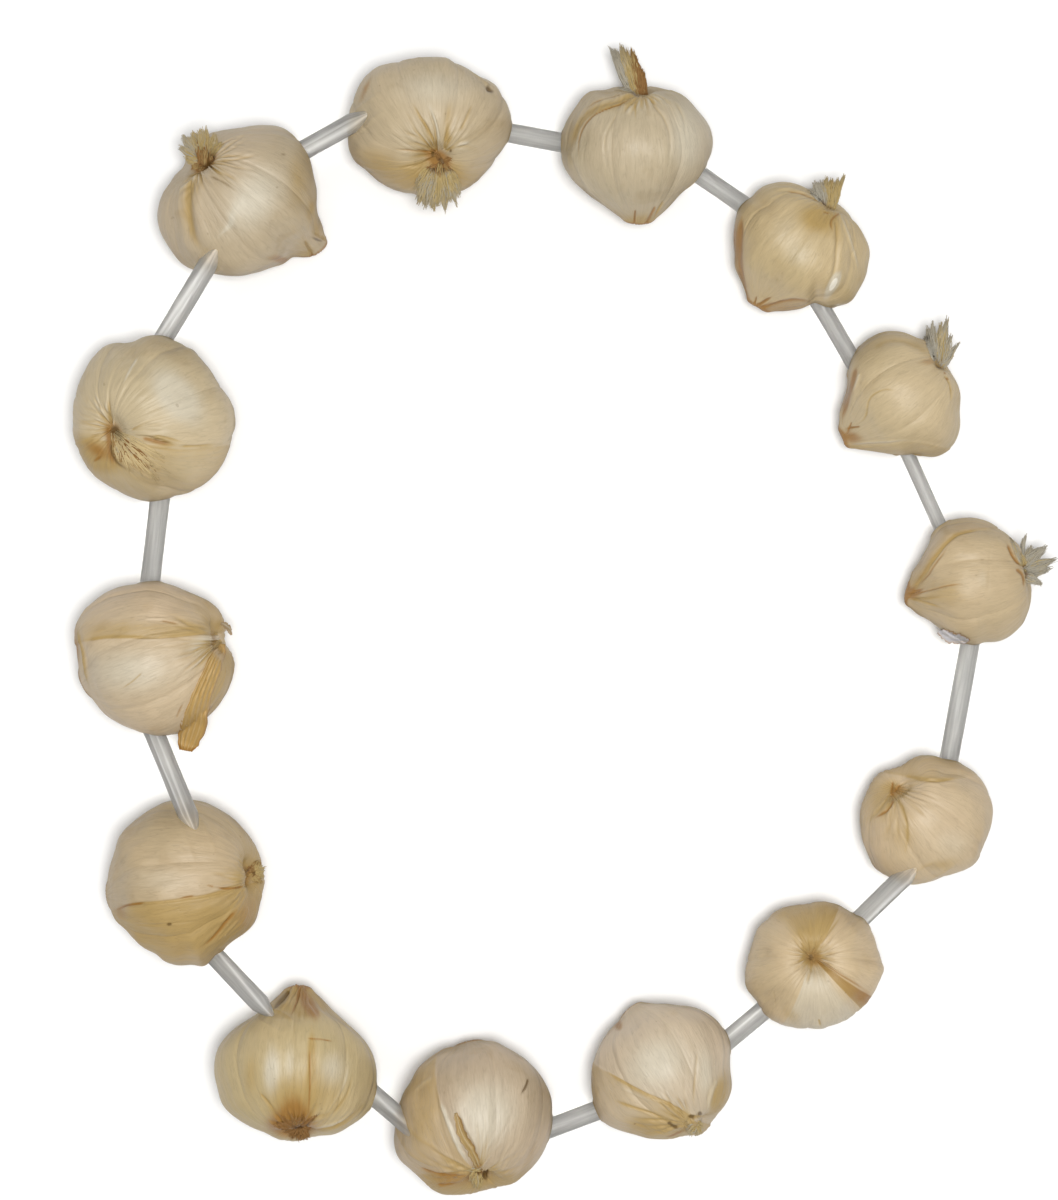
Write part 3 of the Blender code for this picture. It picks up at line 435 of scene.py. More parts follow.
# Bunches of dried roots, by bulb. foot, tip: x and y from the bulb's middle. sunk: how far the
# foot is below the top of the skin there. rise: the tip's height over the foot's. foot_half,
# half, tip_half: half widths at the foot, half way and at the tip. count: how many fibres.
# hue: -0.5 cream, 0 grey, 0.5 straw, 1 rust.
Bunch = namedtuple("Bunch", "foot tip sunk rise foot_half half tip_half count hue")
BUNCHES = {
    1: (
        ((-12.8, 12.0), (-17.2, 13.0), 0.8, 1.5, 0.9, 1.2, 1.2, 44, 0.4),
        ((-12.8, 13.0), (-19.2, 16.8), 0.8, 3, 0.9, 1.6, 0.9, 60, 0.35),
        ((-12.6, 13.8), (-17.8, 20.2), 0.8, 4, 1.0, 1.9, 1.4, 80, 0.3),
        ((-12.0, 14.4), (-14.6, 21.4), 0.8, 4.5, 1.0, 1.6, 1.5, 72, 0.42),
        ((-10.6, 14.8), (-11.6, 22.4), 0.8, 5, 1.0, 1.5, 1.3, 72, 0.45),
        ((-9.4, 14.6), (-9.7, 22.6), 0.8, 5, 0.9, 1.2, 0.7, 56, 0.45),
        ((-8.4, 14.2), (-6.6, 20.6), 0.8, 4, 0.8, 1.2, 0.9, 52, 0.45),
        ((-7.8, 13.4), (-4.2, 17.4), 0.5, 1.5, 0.7, 1.0, 1.2, 40, 0.6),
        ((-11.6, 13.6), (-12.2, 19.0), 1.6, 4, 0.9, 1.2, 1.2, 52, 1.0),
        ((-9.6, 13.4), (-9.2, 18.6), 1.6, 4, 0.9, 1.2, 1.2, 52, 0.9),
        ((-11.8, 10.8), (-12.6, 17.4), 0.2, 2.0, 0.5, 0.8, 0.8, 14, 0.9),
        ((-10.5, 10.4), (-10.4, 18.2), 0.2, 2.4, 0.5, 1.0, 0.9, 16, 0.8),
        ((-8.8, 11.0), (-7.6, 17.0), 0.2, 2.0, 0.5, 0.8, 0.8, 14, 0.9),
        ((-8.6, 12.0), (-6.2, 11.0), 0.2, 0.8, 0.4, 0.5, 0.4, 8, 1.0),
        ((-12.9, 11.0), (-14.6, 9.2), 0.5, 1.0, 0.6, 0.8, 0.8, 28, 0.8),
        ((-11.0, 10.0), (-11.6, 8.2), 0.5, 1.0, 0.8, 0.9, 0.9, 24, 0.9),
        ((-8.2, 10.8), (-6.8, 9.4), 0.5, 1.0, 0.6, 0.8, 0.8, 24, 0.9),
    ),
    2: (
        ((0.6, -15.6), (-4.6, -23.0), 0.4, 0.1, 1.0, 1.8, 1.2, 60, 0.42),
        ((1.0, -16.6), (-3.6, -27.4), 0.4, 0, 1.0, 2.0, 1.2, 80, 0.3),
        ((1.8, -15.4), (-1.4, -28.6), 0.4, 0, 1.0, 2.0, 1.2, 92, 0.34),
        ((2.6, -16.8), (1.2, -29.6), 0.4, 0, 1.0, 1.8, 1.0, 92, 0.42),
        ((3.6, -15.6), (3.0, -28.0), 0.4, 0, 1.0, 1.8, 1.0, 80, 0.48),
        ((4.6, -16.8), (5.4, -30.0), 0.4, 0, 1.0, 1.6, 0.5, 80, 0.4),
        ((5.4, -15.6), (7.2, -26.8), 0.4, 0, 1.0, 1.6, 1.0, 72, 0.4),
        ((6.2, -16.6), (9.2, -28.2), 0.4, 0, 0.9, 1.4, 0.4, 52, 0.3),
        ((6.6, -15.8), (10.0, -25.0), 0.4, 0.1, 0.9, 1.4, 0.7, 52, 0.38),
        ((6.8, -16.2), (10.6, -23.2), 0.4, 0.1, 0.9, 1.4, 0.9, 44, 0.45),
        ((3.8, -12.6), (1.2, -9.8), 0.4, 0.8, 0.8, 0.5, 0.4, 6, 1.0),
        ((4.8, -13.6), (8.2, -12.6), 0.4, 0.6, 0.5, 0.8, 0.8, 8, 1.0),
        ((4.8, -13.8), (7.0, -17.6), 0.4, 0.5, 0.6, 1.0, 1.2, 12, 0.85),
        ((2.6, -14.0), (-1.2, -15.6), 0.4, 0.6, 0.5, 0.7, 0.6, 8, 1.0),
        ((3.8, -13.8), (3.4, -18.8), 0.4, 0.4, 0.6, 1.4, 1.6, 12, 0.8),
    ),
    3: (
        ((-0.6, 17.6), (-7.0, 19.2), 3.0, 0.5, 0.6, 0.6, 0.4, 28, 0.1),
        ((-0.2, 16.8), (-9.2, 33.4), 2.4, 2.0, 0.9, 2.2, 0.7, 120, 0.05),
        ((0.2, 16.6), (-7.6, 32.4), 2.4, 2.2, 0.9, 2.0, 1.0, 100, 0.15),
        ((0.6, 16.4), (-5.8, 34.2), 2.2, 2.4, 0.9, 1.9, 0.7, 120, 0.42),
        ((1.0, 16.2), (-4.2, 32.6), 2.0, 2.6, 0.9, 1.7, 1.0, 100, 0.6),
        ((1.4, 16.0), (-2.2, 32.6), 2.0, 2.6, 0.9, 1.5, 0.7, 112, 0.75),
        ((1.8, 16.0), (-1.0, 30.2), 2.0, 2.6, 0.9, 1.3, 0.7, 100, 1.0),
        ((2.2, 16.2), (1.4, 25.6), 2.0, 2.0, 0.8, 1.0, 0.6, 72, 1.1),
    ),
    4: (
        ((6.2, 13.6), (2.6, 18.4), 1.6, 0.5, 0.8, 1.1, 0.8, 44, 0.05),
        ((6.6, 13.4), (4.4, 21.4), 1.6, 1.2, 0.8, 1.7, 1.1, 80, 0.05),
        ((7.2, 13.0), (6.6, 21.8), 1.6, 1.5, 0.9, 1.7, 0.9, 80, 0.25),
        ((7.8, 12.6), (8.4, 23.0), 1.6, 1.8, 0.9, 1.7, 0.8, 92, 0.42),
        ((8.6, 12.2), (10.4, 22.6), 1.6, 1.8, 0.9, 1.6, 0.9, 92, 0.6),
        ((9.2, 11.8), (12.2, 22.8), 1.6, 1.8, 0.9, 1.3, 0.6, 80, 0.5),
        ((9.8, 11.6), (14.6, 24.2), 1.6, 1.8, 0.8, 1.0, 0.3, 88, 0.5),
    ),
    5: (
        ((10.6, 10.2), (7.4, 19.6), 1.4, 1.0, 0.9, 1.4, 0.8, 68, 0.05),
        ((10.8, 10.2), (8.6, 23.2), 1.4, 1.5, 0.9, 1.9, 0.7, 92, 0.05),
        ((11.2, 10.0), (10.3, 25.0), 1.4, 1.6, 0.9, 1.7, 0.5, 100, 0.12),
        ((11.8, 10.0), (12.0, 21.0), 1.4, 1.4, 1.0, 1.6, 1.0, 80, 0.35),
        ((12.2, 10.0), (13.3, 24.6), 1.4, 1.6, 1.0, 1.6, 0.6, 92, 0.4),
        ((12.4, 10.0), (14.4, 23.6), 1.4, 1.4, 1.0, 1.7, 1.0, 80, 0.3),
        ((12.6, 10.0), (15.4, 26.4), 1.4, 1.6, 1.0, 1.6, 0.4, 100, 0.3),
        ((13.0, 9.8), (16.8, 20.8), 1.4, 1.2, 0.9, 1.6, 0.6, 72, 0.2),
        ((13.2, 9.6), (19.4, 17.8), 1.4, 0.6, 0.9, 1.4, 0.3, 68, 0.1),
        ((13.2, 9.4), (17.4, 14.6), 1.4, 0.4, 0.8, 1.0, 0.7, 44, 0.2),
    ),
    6: (
        ((15.6, 5.2), (11.8, 14.8), 0.6, 0.5, 0.5, 0.7, 0.5, 48, 0.3),
        ((16.0, 5.0), (15.4, 9.8), 0.8, 0.5, 0.8, 1.2, 1.0, 44, 0.4),
        ((16.2, 4.6), (18.0, 16.0), 1.0, 0.8, 0.7, 0.8, 0.4, 52, 0.0),
        ((16.4, 4.4), (20.6, 12.0), 1.0, 0.8, 0.9, 1.6, 1.1, 72, 0.15),
        ((16.6, 4.0), (25.4, 12.0), 1.0, 0.8, 0.9, 2.0, 1.1, 96, 0.1),
        ((16.8, 3.4), (29.2, 7.6), 1.0, 0.6, 0.9, 2.2, 0.5, 108, 0.1),
        ((16.8, 2.6), (27.4, 4.4), 1.0, 0.4, 0.9, 2.0, 0.9, 88, 0.12),
        ((16.6, 1.8), (22.4, -0.8), 1.0, 0.2, 0.8, 1.4, 0.7, 64, 0.15),
        ((16.4, 2.4), (18.6, 2.2), 0.6, 0.5, 1.2, 1.6, 1.6, 48, 0.55),
    ),
    9: (
        ((9.8, -16.8), (7.2, -19.0), 1.4, 0.9, 1.0, 1.5, 1.2, 16, 0.4),
        ((9.8, -17.0), (9.0, -20.6), 1.4, 0.6, 1.1, 1.6, 1.3, 18, 0.4),
        ((10.0, -17.0), (11.8, -19.8), 1.4, 0.6, 1.1, 1.6, 1.3, 18, 0.35),
        ((10.0, -16.8), (13.0, -17.6), 1.4, 0.9, 1.0, 1.5, 1.2, 16, 0.45),
    ),
    10: (
        ((0.4, -14.6), (-0.8, -18.4), 0.3, 0.5, 0.6, 1.0, 0.7, 16, 0.55),
        ((0.4, -16.6), (0.2, -22.0), 0.3, 0.4, 0.7, 1.0, 0.9, 24, 0.5),
        ((1.4, -16.6), (1.8, -22.4), 0.3, 0.3, 0.7, 1.0, 0.8, 24, 0.6),
        ((2.4, -14.2), (-3.0, -14.4), 0.2, 0.6, 0.4, 0.6, 0.4, 16, 0.5),
    ),
    11: (
        ((1.0, -18.6), (-6.4, -16.0), 0.3, 0.3, 0.6, 1.4, 1.2, 16, 1.1),
        ((1.0, -19.0), (-4.6, -20.6), 0.4, 0.3, 0.7, 1.4, 1.2, 20, 1.15),
        ((1.4, -19.2), (-1.4, -23.4), 0.4, 0.1, 0.9, 1.6, 1.0, 32, 1.1),
        ((1.8, -19.4), (1.8, -24.4), 0.4, 0.0, 1.0, 1.8, 1.4, 44, 1.2),
        ((2.2, -19.2), (4.4, -23.4), 0.4, 0.2, 0.9, 1.4, 1.0, 36, 1.1),
        ((2.4, -18.8), (5.4, -19.6), 0.4, 0.5, 0.8, 1.2, 0.9, 40, 1.1),
        ((2.4, -18.4), (8.6, -12.6), 0.2, 0.3, 0.5, 0.5, 0.3, 16, 1.2),
        ((1.8, -18.2), (3.8, -12.6), 0.2, 0.2, 0.6, 1.2, 1.0, 12, 1.0),
        ((1.2, -18.0), (-0.4, -12.4), 0.2, 0.2, 0.6, 1.4, 1.3, 14, 1.0),
        ((0.8, -18.2), (-3.8, -13.4), 0.2, 0.2, 0.6, 1.2, 0.8, 12, 1.05),
    ),
    12: (
        ((22.6, 3.4), (24.6, 7.4), 0.5, 0.2, 0.9, 1.2, 0.8, 44, 0.75),
        ((22.8, 3.2), (26.4, 5.0), 0.5, 0.0, 0.9, 1.4, 1.0, 48, 0.62),
        ((22.8, 2.8), (26.4, 2.2), 0.5, 0.0, 0.9, 1.4, 1.0, 48, 0.6),
        ((22.6, 2.4), (25.4, 0.0), 0.5, 0.1, 0.8, 1.1, 0.8, 40, 0.75),
        ((22.4, 3.2), (21.6, 5.8), 0.4, 0.6, 0.7, 1.0, 0.7, 32, 0.9),
    ),
    14: (
        ((-10.8, -5.4), (-10.6, -12.8), 0.2, 0.2, 0.7, 0.9, 0.7, 18, 0.8),
        ((-10.8, -5.8), (-8.6, -15.4), 0.2, 0.2, 0.7, 1.0, 0.7, 12, -0.5),
        ((-10.4, -6.0), (-5.4, -18.6), 0.2, 0.2, 0.8, 1.2, 1.0, 16, -0.5),
        ((-10.0, -6.2), (-1.0, -20.0), 0.2, 0.2, 0.8, 1.4, 1.4, 18, -0.5),
        ((-9.6, -6.2), (4.6, -21.4), 0.2, 0.2, 0.7, 1.6, 1.8, 18, -0.5),
        ((-9.2, -6.0), (7.6, -18.4), 0.2, 0.2, 0.6, 1.5, 1.7, 14, -0.5),
        ((-8.8, -5.6), (7.6, -14.8), 0.2, 0.2, 0.5, 1.2, 1.4, 8, -0.5),
        ((-10.2, -6.0), (-7.0, -16.2), 0.2, 0.2, 0.8, 1.3, 1.4, 8, 1.1),
        ((-9.8, -6.0), (3.4, -19.4), 0.2, 0.2, 0.7, 1.8, 2.4, 12, 1.1),
    ),
}
FIBRE_RINGS, FIBRE_SIDES = 6, 5
# Thinnest and thickest fibre's radius, and how the radius changes from foot to tip.
FIBRE_RADII = (0.12, 0.27)
FIBRE_TAPER = np.array((1.0, 1.05, 1.0, 0.95, 0.8, 0.4))
# How far above the skin fibres and husks lie.
ROOT_GAP, HUSK_GAP = 0.15, 0.4

# A loose piece of husk. line: x, y, z from the bulb's middle and the half width there; it lies
# on the skin wherever z is lower. droop: how far its sides hang.
Leaf = namedtuple("Leaf", "line droop pleats ragged tone")
LEAF_ACROSS, LEAF_ALONG, LEAF_WALL = 24, 60, 0.18
LEAVES = {
    6: (Leaf(((-9.5, -16.0, -4, 0.8), (-6.5, -18.0, -4.5, 1.6), (-3.0, -19.0, -5, 1.3),
              (-0.8, -19.2, -5, 0.4)), -0.3, 1, 0.3, (0.42, 0.41, 0.42)),),
    10: (Leaf(((-5.6, 4.8, 0, 0.4), (-4.6, 1.0, 0, 1.2), (-3.0, -3.0, 0, 1.3),
               (-0.8, -7.0, 0, 1.3), (0.6, -10.5, 0, 1.1), (1.4, -13.5, 0, 0.8)),
              -0.3, 2, 0.35, (0.36, 0.25, 0.10)),),
    13: (Leaf(((23.0, 5.6, 1, 0.8), (22.2, 1.5, 1, 1.8), (20.6, -3.5, 0.5, 2.6),
               (18.2, -9.5, 0, 2.9), (15.9, -15.5, 9, 3.4), (14.4, -20.0, 6, 3.9),
               (12.6, -24.5, 3, 3.8), (11.6, -27.0, 1.5, 3.2), (11.2, -29.0, 2.4, 2.0)),
              1.0, 5, 0.10, (0.43, 0.275, 0.09)),
         Leaf(((22.4, 12.2, 0, 0.4), (23.9, 11.6, 0, 0.9), (25.0, 10.2, 0, 0.8),
               (25.7, 8.4, 0, 0.3)), 0.4, 1, 0.3, (0.26, 0.20, 0.12))),
}

# Bulbs whose skin is smoother than the others', and how mottled skins and husks are.
SMOOTH_SKINNED = (5, 6, 7)
PLAIN_MOTTLE, SMOOTH_MOTTLE, HUSK_MOTTLE = 1.0, 0.65, 0.6
# The stains' colours. Where a skin is stained palest of all, it turns near white as a painted
# highlight.
OCHRE_TONE, RUST_TONE = (0.385, 0.255, 0.080), (0.29, 0.133, 0.018)
PALE_AND_SHEEN_TONE, PAINTED_HIGHLIGHT_TONE = (0.56, 0.505, 0.39), (0.80, 0.77, 0.68)
DARK_TONE = (0.095, 0.048, 0.004)
# Root fibres: by hue, then at their tips and feet.
ROOT_GREY, ROOT_STRAW = (0.36, 0.33, 0.262), (0.405, 0.302, 0.125)
ROOT_RUST, ROOT_CREAM = (0.24, 0.122, 0.035), (0.53, 0.41, 0.21)
ROOT_TIP, ROOT_FOOT = (0.42, 0.37, 0.28), (0.16, 0.078, 0.024)
STRAW_DULL, STRAW_MILKY = (0.50, 0.495, 0.485), (0.64, 0.635, 0.62)
STRAW_GLEAM_WHITE, STRAW_SHADOW = (0.98, 0.98, 0.97), (0.95, 0.95, 0.94)

STRAW_RADIUS, STRAW_WALL = 3.2, 0.25
# Straws thinner than that, as shares of the radius.
THIN_STRAWS = {3: 0.94, 4: 0.88, 5: 0.72}
STRAW_SIDES, STRAW_RINGS = 48, 40
# Straws with an end that lies on top of a bulb before it goes in: which bulb, how much farther
# the straw reaches there than its CAD solid, and how far left that end is moved.
LAID_ON = {1: (2, 0, 0), 7: (7, -0.5, -4), 10: (10, 3.5, -3.5), 11: (11, -2, 0), 12: (12, -2, 0),
           14: (1, 1.5, 0)}
# The radius that such an end tapers to, and over what length. The last stretch of every end
# dips, so that its rim is a little under the skin.
TIP_RADIUS, TAPER_LENGTH, DIP_LENGTH, UNDER_SKIN = 0.6, 8, 16, 0.5
# The skin's rise round a straw: how far from the straw, how wide and how high.
PUCKER_OFF, PUCKER_WIDTH, PUCKER_RISE = 0.5, 0.7, 0.3
# Painted highlights: white lines along a straw where its shine would run. How far left of its
# middle at the first and at the second bulb, and half width, all as shares of the radius.
GLEAMS = {
    1: ((-0.4, -0.4, 0.2), (0.15, 0.2, 0.1)),
    7: ((0.55, 0.5, 0.16),),
    8: ((-0.4, -0.4, 0.09),),
    10: ((0.0, -0.4, 0.22),),
    11: ((-0.1, -0.8, 0.12),),
    12: ((-0.1, -0.3, 0.1), (0.4, 0.35, 0.08)),
    14: ((0.6, -0.1, 0.2), (0.1, -0.6, 0.07)),
}

# The studio, in metres and watts. The camera looks straight down, a little off the middle.
CAMERA_HEIGHT, CAMERA_LENS = 1.1, 99.4
CAMERA_OFF = (-0.0111, 0.0057)
KEY_PLACE, KEY_SIZE, KEY_POWER = (0.06, -0.05, 1.38), 0.32, 15.0
OVERHEAD_PLACE, OVERHEAD_SIZE, OVERHEAD_POWER = (0.0, 0.0, 1.9), 2.2, 8.0
WORLD_LIGHT = 0.28
FLOOR_HALF, FLOOR_DROP = 3, 0.0001

# ---- shapes -------------------------------------------------------------------------------

def direction(azimuth, lift):
    """Unit vector from degrees round +Z and degrees up from the floor."""
    a, b = math.radians(azimuth), math.radians(lift)
    return np.array((math.cos(a) * math.cos(b), math.sin(a) * math.cos(b), math.sin(b)))


def unit(vectors):
    """The vectors at length 1."""
    return vectors / np.maximum(np.linalg.norm(vectors, axis=-1, keepdims=True), 1e-9)


def round_axis(points):
    """How far each point is turned round +Z, and how far it is from it."""
    return np.arctan2(points[:, 1], points[:, 0]), np.hypot(points[:, 0], points[:, 1])


def from_axis(turn, far, height):
    """The points at such turns, distances and heights."""
    return np.column_stack((far * np.cos(turn), far * np.sin(turn), height))


def left_of(way):
    """Unit vector to the left of a way, seen from above."""
    return unit(np.cross((0.0, 0.0, 1.0), way))


def smooth_line(points, count):
    """Points evenly spread in parameter along a Catmull-Rom curve through the given ones."""
    points = np.asarray(points, float)
    ends = np.vstack((2 * points[0] - points[1], points, 2 * points[-1] - points[-2]))
    t = np.linspace(0, len(points) - 1, count)
    k = np.minimum(t.astype(int), len(points) - 2)
    t = (t - k)[:, None]
    a, b, c, d = (ends[k + i] for i in range(4))
    return 0.5 * (2 * b + (c - a) * t + (2 * a - 5 * b + 4 * c - d) * t ** 2
                  + (3 * b - 3 * c + d - a) * t ** 3)


def fade(value, start, end):
    """0 at start, 1 at end, smooth between."""
    t = np.clip((value - start) / (end - start), 0, 1)
    return t * t * (3 - 2 * t)


def turned_to(way):
    """Columns: where X, Y and Z go when Z is turned to point the given way."""
    return np.array(Vector(way).to_track_quat("Z", "Y").to_matrix())


def mesh_from(bm, name):
    mesh = bpy.data.meshes.new(name)
    bm.to_mesh(mesh)
    bm.free()
    return mesh


def read_points(mesh):
    found = np.empty(len(mesh.vertices) * 3)
    mesh.vertices.foreach_get("co", found)
    return found.reshape(-1, 3)


def write_points(mesh, points):
    mesh.vertices.foreach_set("co", np.ascontiguousarray(points, np.float32).ravel())
    mesh.update()


def read_normals(mesh):
    found = np.empty(len(mesh.vertices) * 3, np.float32)
    mesh.vertex_normals.foreach_get("vector", found)
    return found.reshape(-1, 3).astype(float)


def write_attribute(mesh, name, kind, values):
    """Stores values for each vertex under a name that a material reads."""
    key = {"FLOAT": "value", "FLOAT_VECTOR": "vector", "FLOAT_COLOR": "color"}[kind]
    layer = mesh.attributes.new(name, kind, "POINT")
    layer.data.foreach_set(key, np.ascontiguousarray(values, np.float32).ravel())


def lathe(rings, sides):
    """The plain form that every bulb is bent from, in belly radii, spun round +Z."""
    outline = smooth_line([(r, 0, z) for r, z in CROWN_OUTLINE + NECK_OUTLINE], rings)
    bm = bmesh.new()
    verts = [bm.verts.new(point) for point in outline]
    edges = [bm.edges.new(pair) for pair in zip(verts, verts[1:])]
    bmesh.ops.spin(bm, geom=verts + edges, axis=(0, 0, 1), cent=(0, 0, 0),
                   angle=2 * math.pi, steps=sides, use_merge=True)
    bmesh.ops.remove_doubles(bm, verts=bm.verts[:], dist=1e-5)
    bmesh.ops.recalc_face_normals(bm, faces=bm.faces[:])
    mesh = mesh_from(bm, "plain_bulb")
    mesh.shade_smooth()
    return mesh


def gather_upwards(mesh):
    """Turns the form's points round its axis so that more of them are on the side facing up."""
    local = read_points(mesh)
    turn, width = round_axis(local)
    turn += GATHERED * np.cos(turn)
    write_points(mesh, from_axis(turn, width, local[:, 2]))


def shape_bulb(bulb, plain):
    """The lathed form's points bent to one bulb, in mm from its middle."""
    local = plain.copy()
    below = local[:, 2] < 0
    local[:, 2] *= np.where(below, 1 + (bulb.neck - 1) * np.abs(local[:, 2]) ** 3, bulb.crown)
    turn, width = round_axis(local)
    chance = random.Random(bulb.cloves * 7 + int(bulb.belly * 10))
    warp = 0.35 * np.sin(turn + chance.uniform(0, 6.3))
    ridge = np.abs(np.sin(0.5 * bulb.cloves * turn + warp + chance.uniform(0, 3.1)))
    grown = 1 + CLOVE_DEPTH * (2 * np.sqrt(ridge) - 1.2) * np.minimum(1, width / 0.6)
    local[:, :2] *= grown[:, None]
    place = local @ turned_to(direction(bulb.azimuth, bulb.lift)).T
    toward = unit(place)
    swell = np.ones(len(place))
    for azimuth, lift, amount, spread in bulb.swells:
        apart = np.degrees(np.arccos(np.clip(toward @ direction(azimuth, lift), -1, 1)))
        swell += amount * np.exp(-(apart / spread) ** 2)
    lean = np.clip(-local[:, 2] / bulb.neck, 0, 1) ** 2
    return place * (swell * bulb.belly)[:, None] + np.outer(lean, (*bulb.lean, 0))


def trim(place, slimmer, trims):
    """Moves the sides in or out, in plan, so that the outline isn't round."""
    turn, far = round_axis(place)
    change = np.full(len(place), -slimmer)
    for azimuth, amount, spread in trims:
        apart = (np.degrees(turn) - azimuth + 180) % 360 - 180
        change += amount * np.exp(-(apart / spread) ** 2)
    change *= fade(far, 0.35 * far.max(), 0.8 * far.max())
    place[:, :2] *= (1 + change / np.maximum(far, 1))[:, None]


def bulb_middle(bulb, number, coarse):
    """The bulb's middle in the frame, from the CAD box's sides that no root or husk passes."""
    form = shape_bulb(bulb, coarse)
    low, high = (np.array(corner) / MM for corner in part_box(f"bulb_{number:02d}"))
    middle = low - form.min(axis=0)
    if number in HANGING:
        middle[1] = high[1] - form[:, 1].max()
    middle[2] = -SINK - form[:, 2].min()
    return middle


# ---- what shows on a skin -------------------------------------------------------------------

def from_line(plan, points, count=14):
    """For each plan point: distance to the line, which side (left is +), how far along 0..1."""
    line = smooth_line([(*p, 0) for p in points], count)[:, :2]
    near = np.full(len(plan), 1e9)
    side = np.zeros(len(plan))
    share = np.zeros(len(plan))
    for k, (a, b) in enumerate(zip(line, line[1:])):
        way = b - a
        t = np.clip((plan - a) @ way / (way @ way), 0, 1)
        apart = plan - a - t[:, None] * way
        far = np.hypot(apart[:, 0], apart[:, 1])
        closer = far < near
        near[closer] = far[closer]
        cross = way[0] * (plan[:, 1] - a[1]) - way[1] * (plan[:, 0] - a[0])
        side[closer] = np.sign(cross)[closer]
        share[closer] = ((k + t) / (count - 1))[closer]
    return near, side, share


def press_crease(mark, plan, height, stains_and_shading):
    """A groove between low shoulders, shallower towards its ends, in a soft halo of stain."""
    near, _, share = from_line(plan, mark.points)
    ends = fade(share, 0, 0.15) * fade(share, 1, 0.6)
    width = 0.6 * mark.width
    groove = np.exp(-(near / width) ** 2)
    shoulders = np.exp(-((near - 2.1 * width) / (1.1 * width)) ** 2)
    halo = np.exp(-(near / (3 * width)) ** 2)
    height -= 0.8 * mark.depth * ends * (groove - 0.3 * shoulders)
    stains_and_shading[:, mark.stain] += mark.amount * (0.25 + 0.75 * ends) * (0.72 * groove + 0.28 * halo)


def press_patch(mark, plan, height, stains_and_shading):
    way = direction(mark.turn, 0)
    off = plan - (mark.x, mark.y)
    along = off @ way[:2] / mark.long
    across = off @ (-way[1], way[0]) / mark.short
    stains_and_shading[:, mark.stain] += mark.amount * np.exp(-(along ** 2 + across ** 2))


def press_pit(mark, plan, height, stains_and_shading):
    off = plan - (mark.x, mark.y)
    height -= mark.depth * np.exp(-(off ** 2).sum(axis=1) / mark.radius ** 2)


def press_fan(mark, plan, height, stains_and_shading):
    """Uneven creases side by side, each with a ridge on its lip. The grooves are stained ochre,
    partly as painted shade, and the ridges are painted pale as highlights.
    """
    chance = random.Random(f"{mark.x} {mark.y} {mark.first}")
    for k in range(mark.count):
        turn = mark.first + (mark.last - mark.first) * (k + chance.uniform(0.1, 0.9)) / mark.count
        reach = mark.reach * chance.uniform(0.35, 1.15)
        way = direction(turn, 0)[:2]
        bent_way = direction(turn + chance.uniform(-12, 12), 0)[:2]
        start = (mark.x, mark.y) + 0.6 * way
        half = start + 0.5 * reach * way
        end = start + reach * bent_way
        near, _, share = from_line(plan, (start, half, end), 5)
        width = 0.17 + chance.uniform(0.3, 0.55) * share
        depth = mark.depth * chance.uniform(0.4, 1.15) * (1 - share) ** 0.6 * fade(share, 0, 0.06)
        groove = np.exp(-(near / width) ** 2)
        ridge = np.exp(-((near - 2 * width) / width) ** 2)
        height -= depth * (groove - 0.45 * ridge)
        # Painted shade and highlight: the groove is browned by its depth and its ridge is
        # whitened.
        stains_and_shading[:, OCHRE] += 0.9 * depth * groove
        stains_and_shading[:, PALE_AND_SHEEN] += 0.5 * depth * ridge


def press_layer(mark, plan, height, stains_and_shading):
    near, side, _ = from_line(plan, mark.points)
    over = fade(near * side, -0.35, 0.35)
    height += mark.step * over
    under = over if mark.step > 0 else 1 - over
    stains_and_shading[:, mark.stain] += mark.amount * under * np.exp(-near / mark.reach)


def press_wedge(mark, plan, height, stains_and_shading):
    turn, far = round_axis(plan - (mark.x, mark.y))
    half = (mark.last - mark.first) / 2
    off_middle = (np.degrees(turn) - mark.first - half + 180) % 360 - 180
    past = np.radians(half + off_middle) * far
    before = np.radians(half - off_middle) * far
    inside = fade(past, -0.3, 0.3) * fade(before, -mark.soft, mark.soft)
    stains_and_shading[:, mark.stain] += mark.amount * inside * fade(far, mark.start * 0.3, mark.start + 3)


PRESS = {Crease: press_crease, Patch: press_patch, Pit: press_pit, Fan: press_fan,
         Layer: press_layer, Wedge: press_wedge}


def ripple(points, chance, wave, amount, terms=7):
    """A smooth uneven field: a few sine waves in random ways."""
    field = np.zeros(len(points))
    for _ in range(terms):
        way = np.array([chance.gauss(0, 1) for _ in range(3)])
        way *= 2 * math.pi / (np.linalg.norm(way) * wave * chance.uniform(0.7, 1.5))
        field += np.sin(points @ way + chance.uniform(0, 6.3))
    return amount * field / math.sqrt(terms)


def straw_pucker(points, middle, straws):
    """How much the skin stands up round the places where the straws go in."""
    pucker = np.zeros(len(points))
    for start, end in straws:
        way = unit(end - start)
        off = points + middle - start
        along = off @ way
        near = np.linalg.norm(off - along[:, None] * way, axis=1)
        length = np.linalg.norm(end - start)
        beside = fade(along, -8, -3) * fade(along, length + 8, length + 3)
        off_rim = near - STRAW_RADIUS - PUCKER_OFF
        pucker += beside * np.exp(-(off_rim / PUCKER_WIDTH) ** 2)
    return np.clip(pucker, 0, 1)


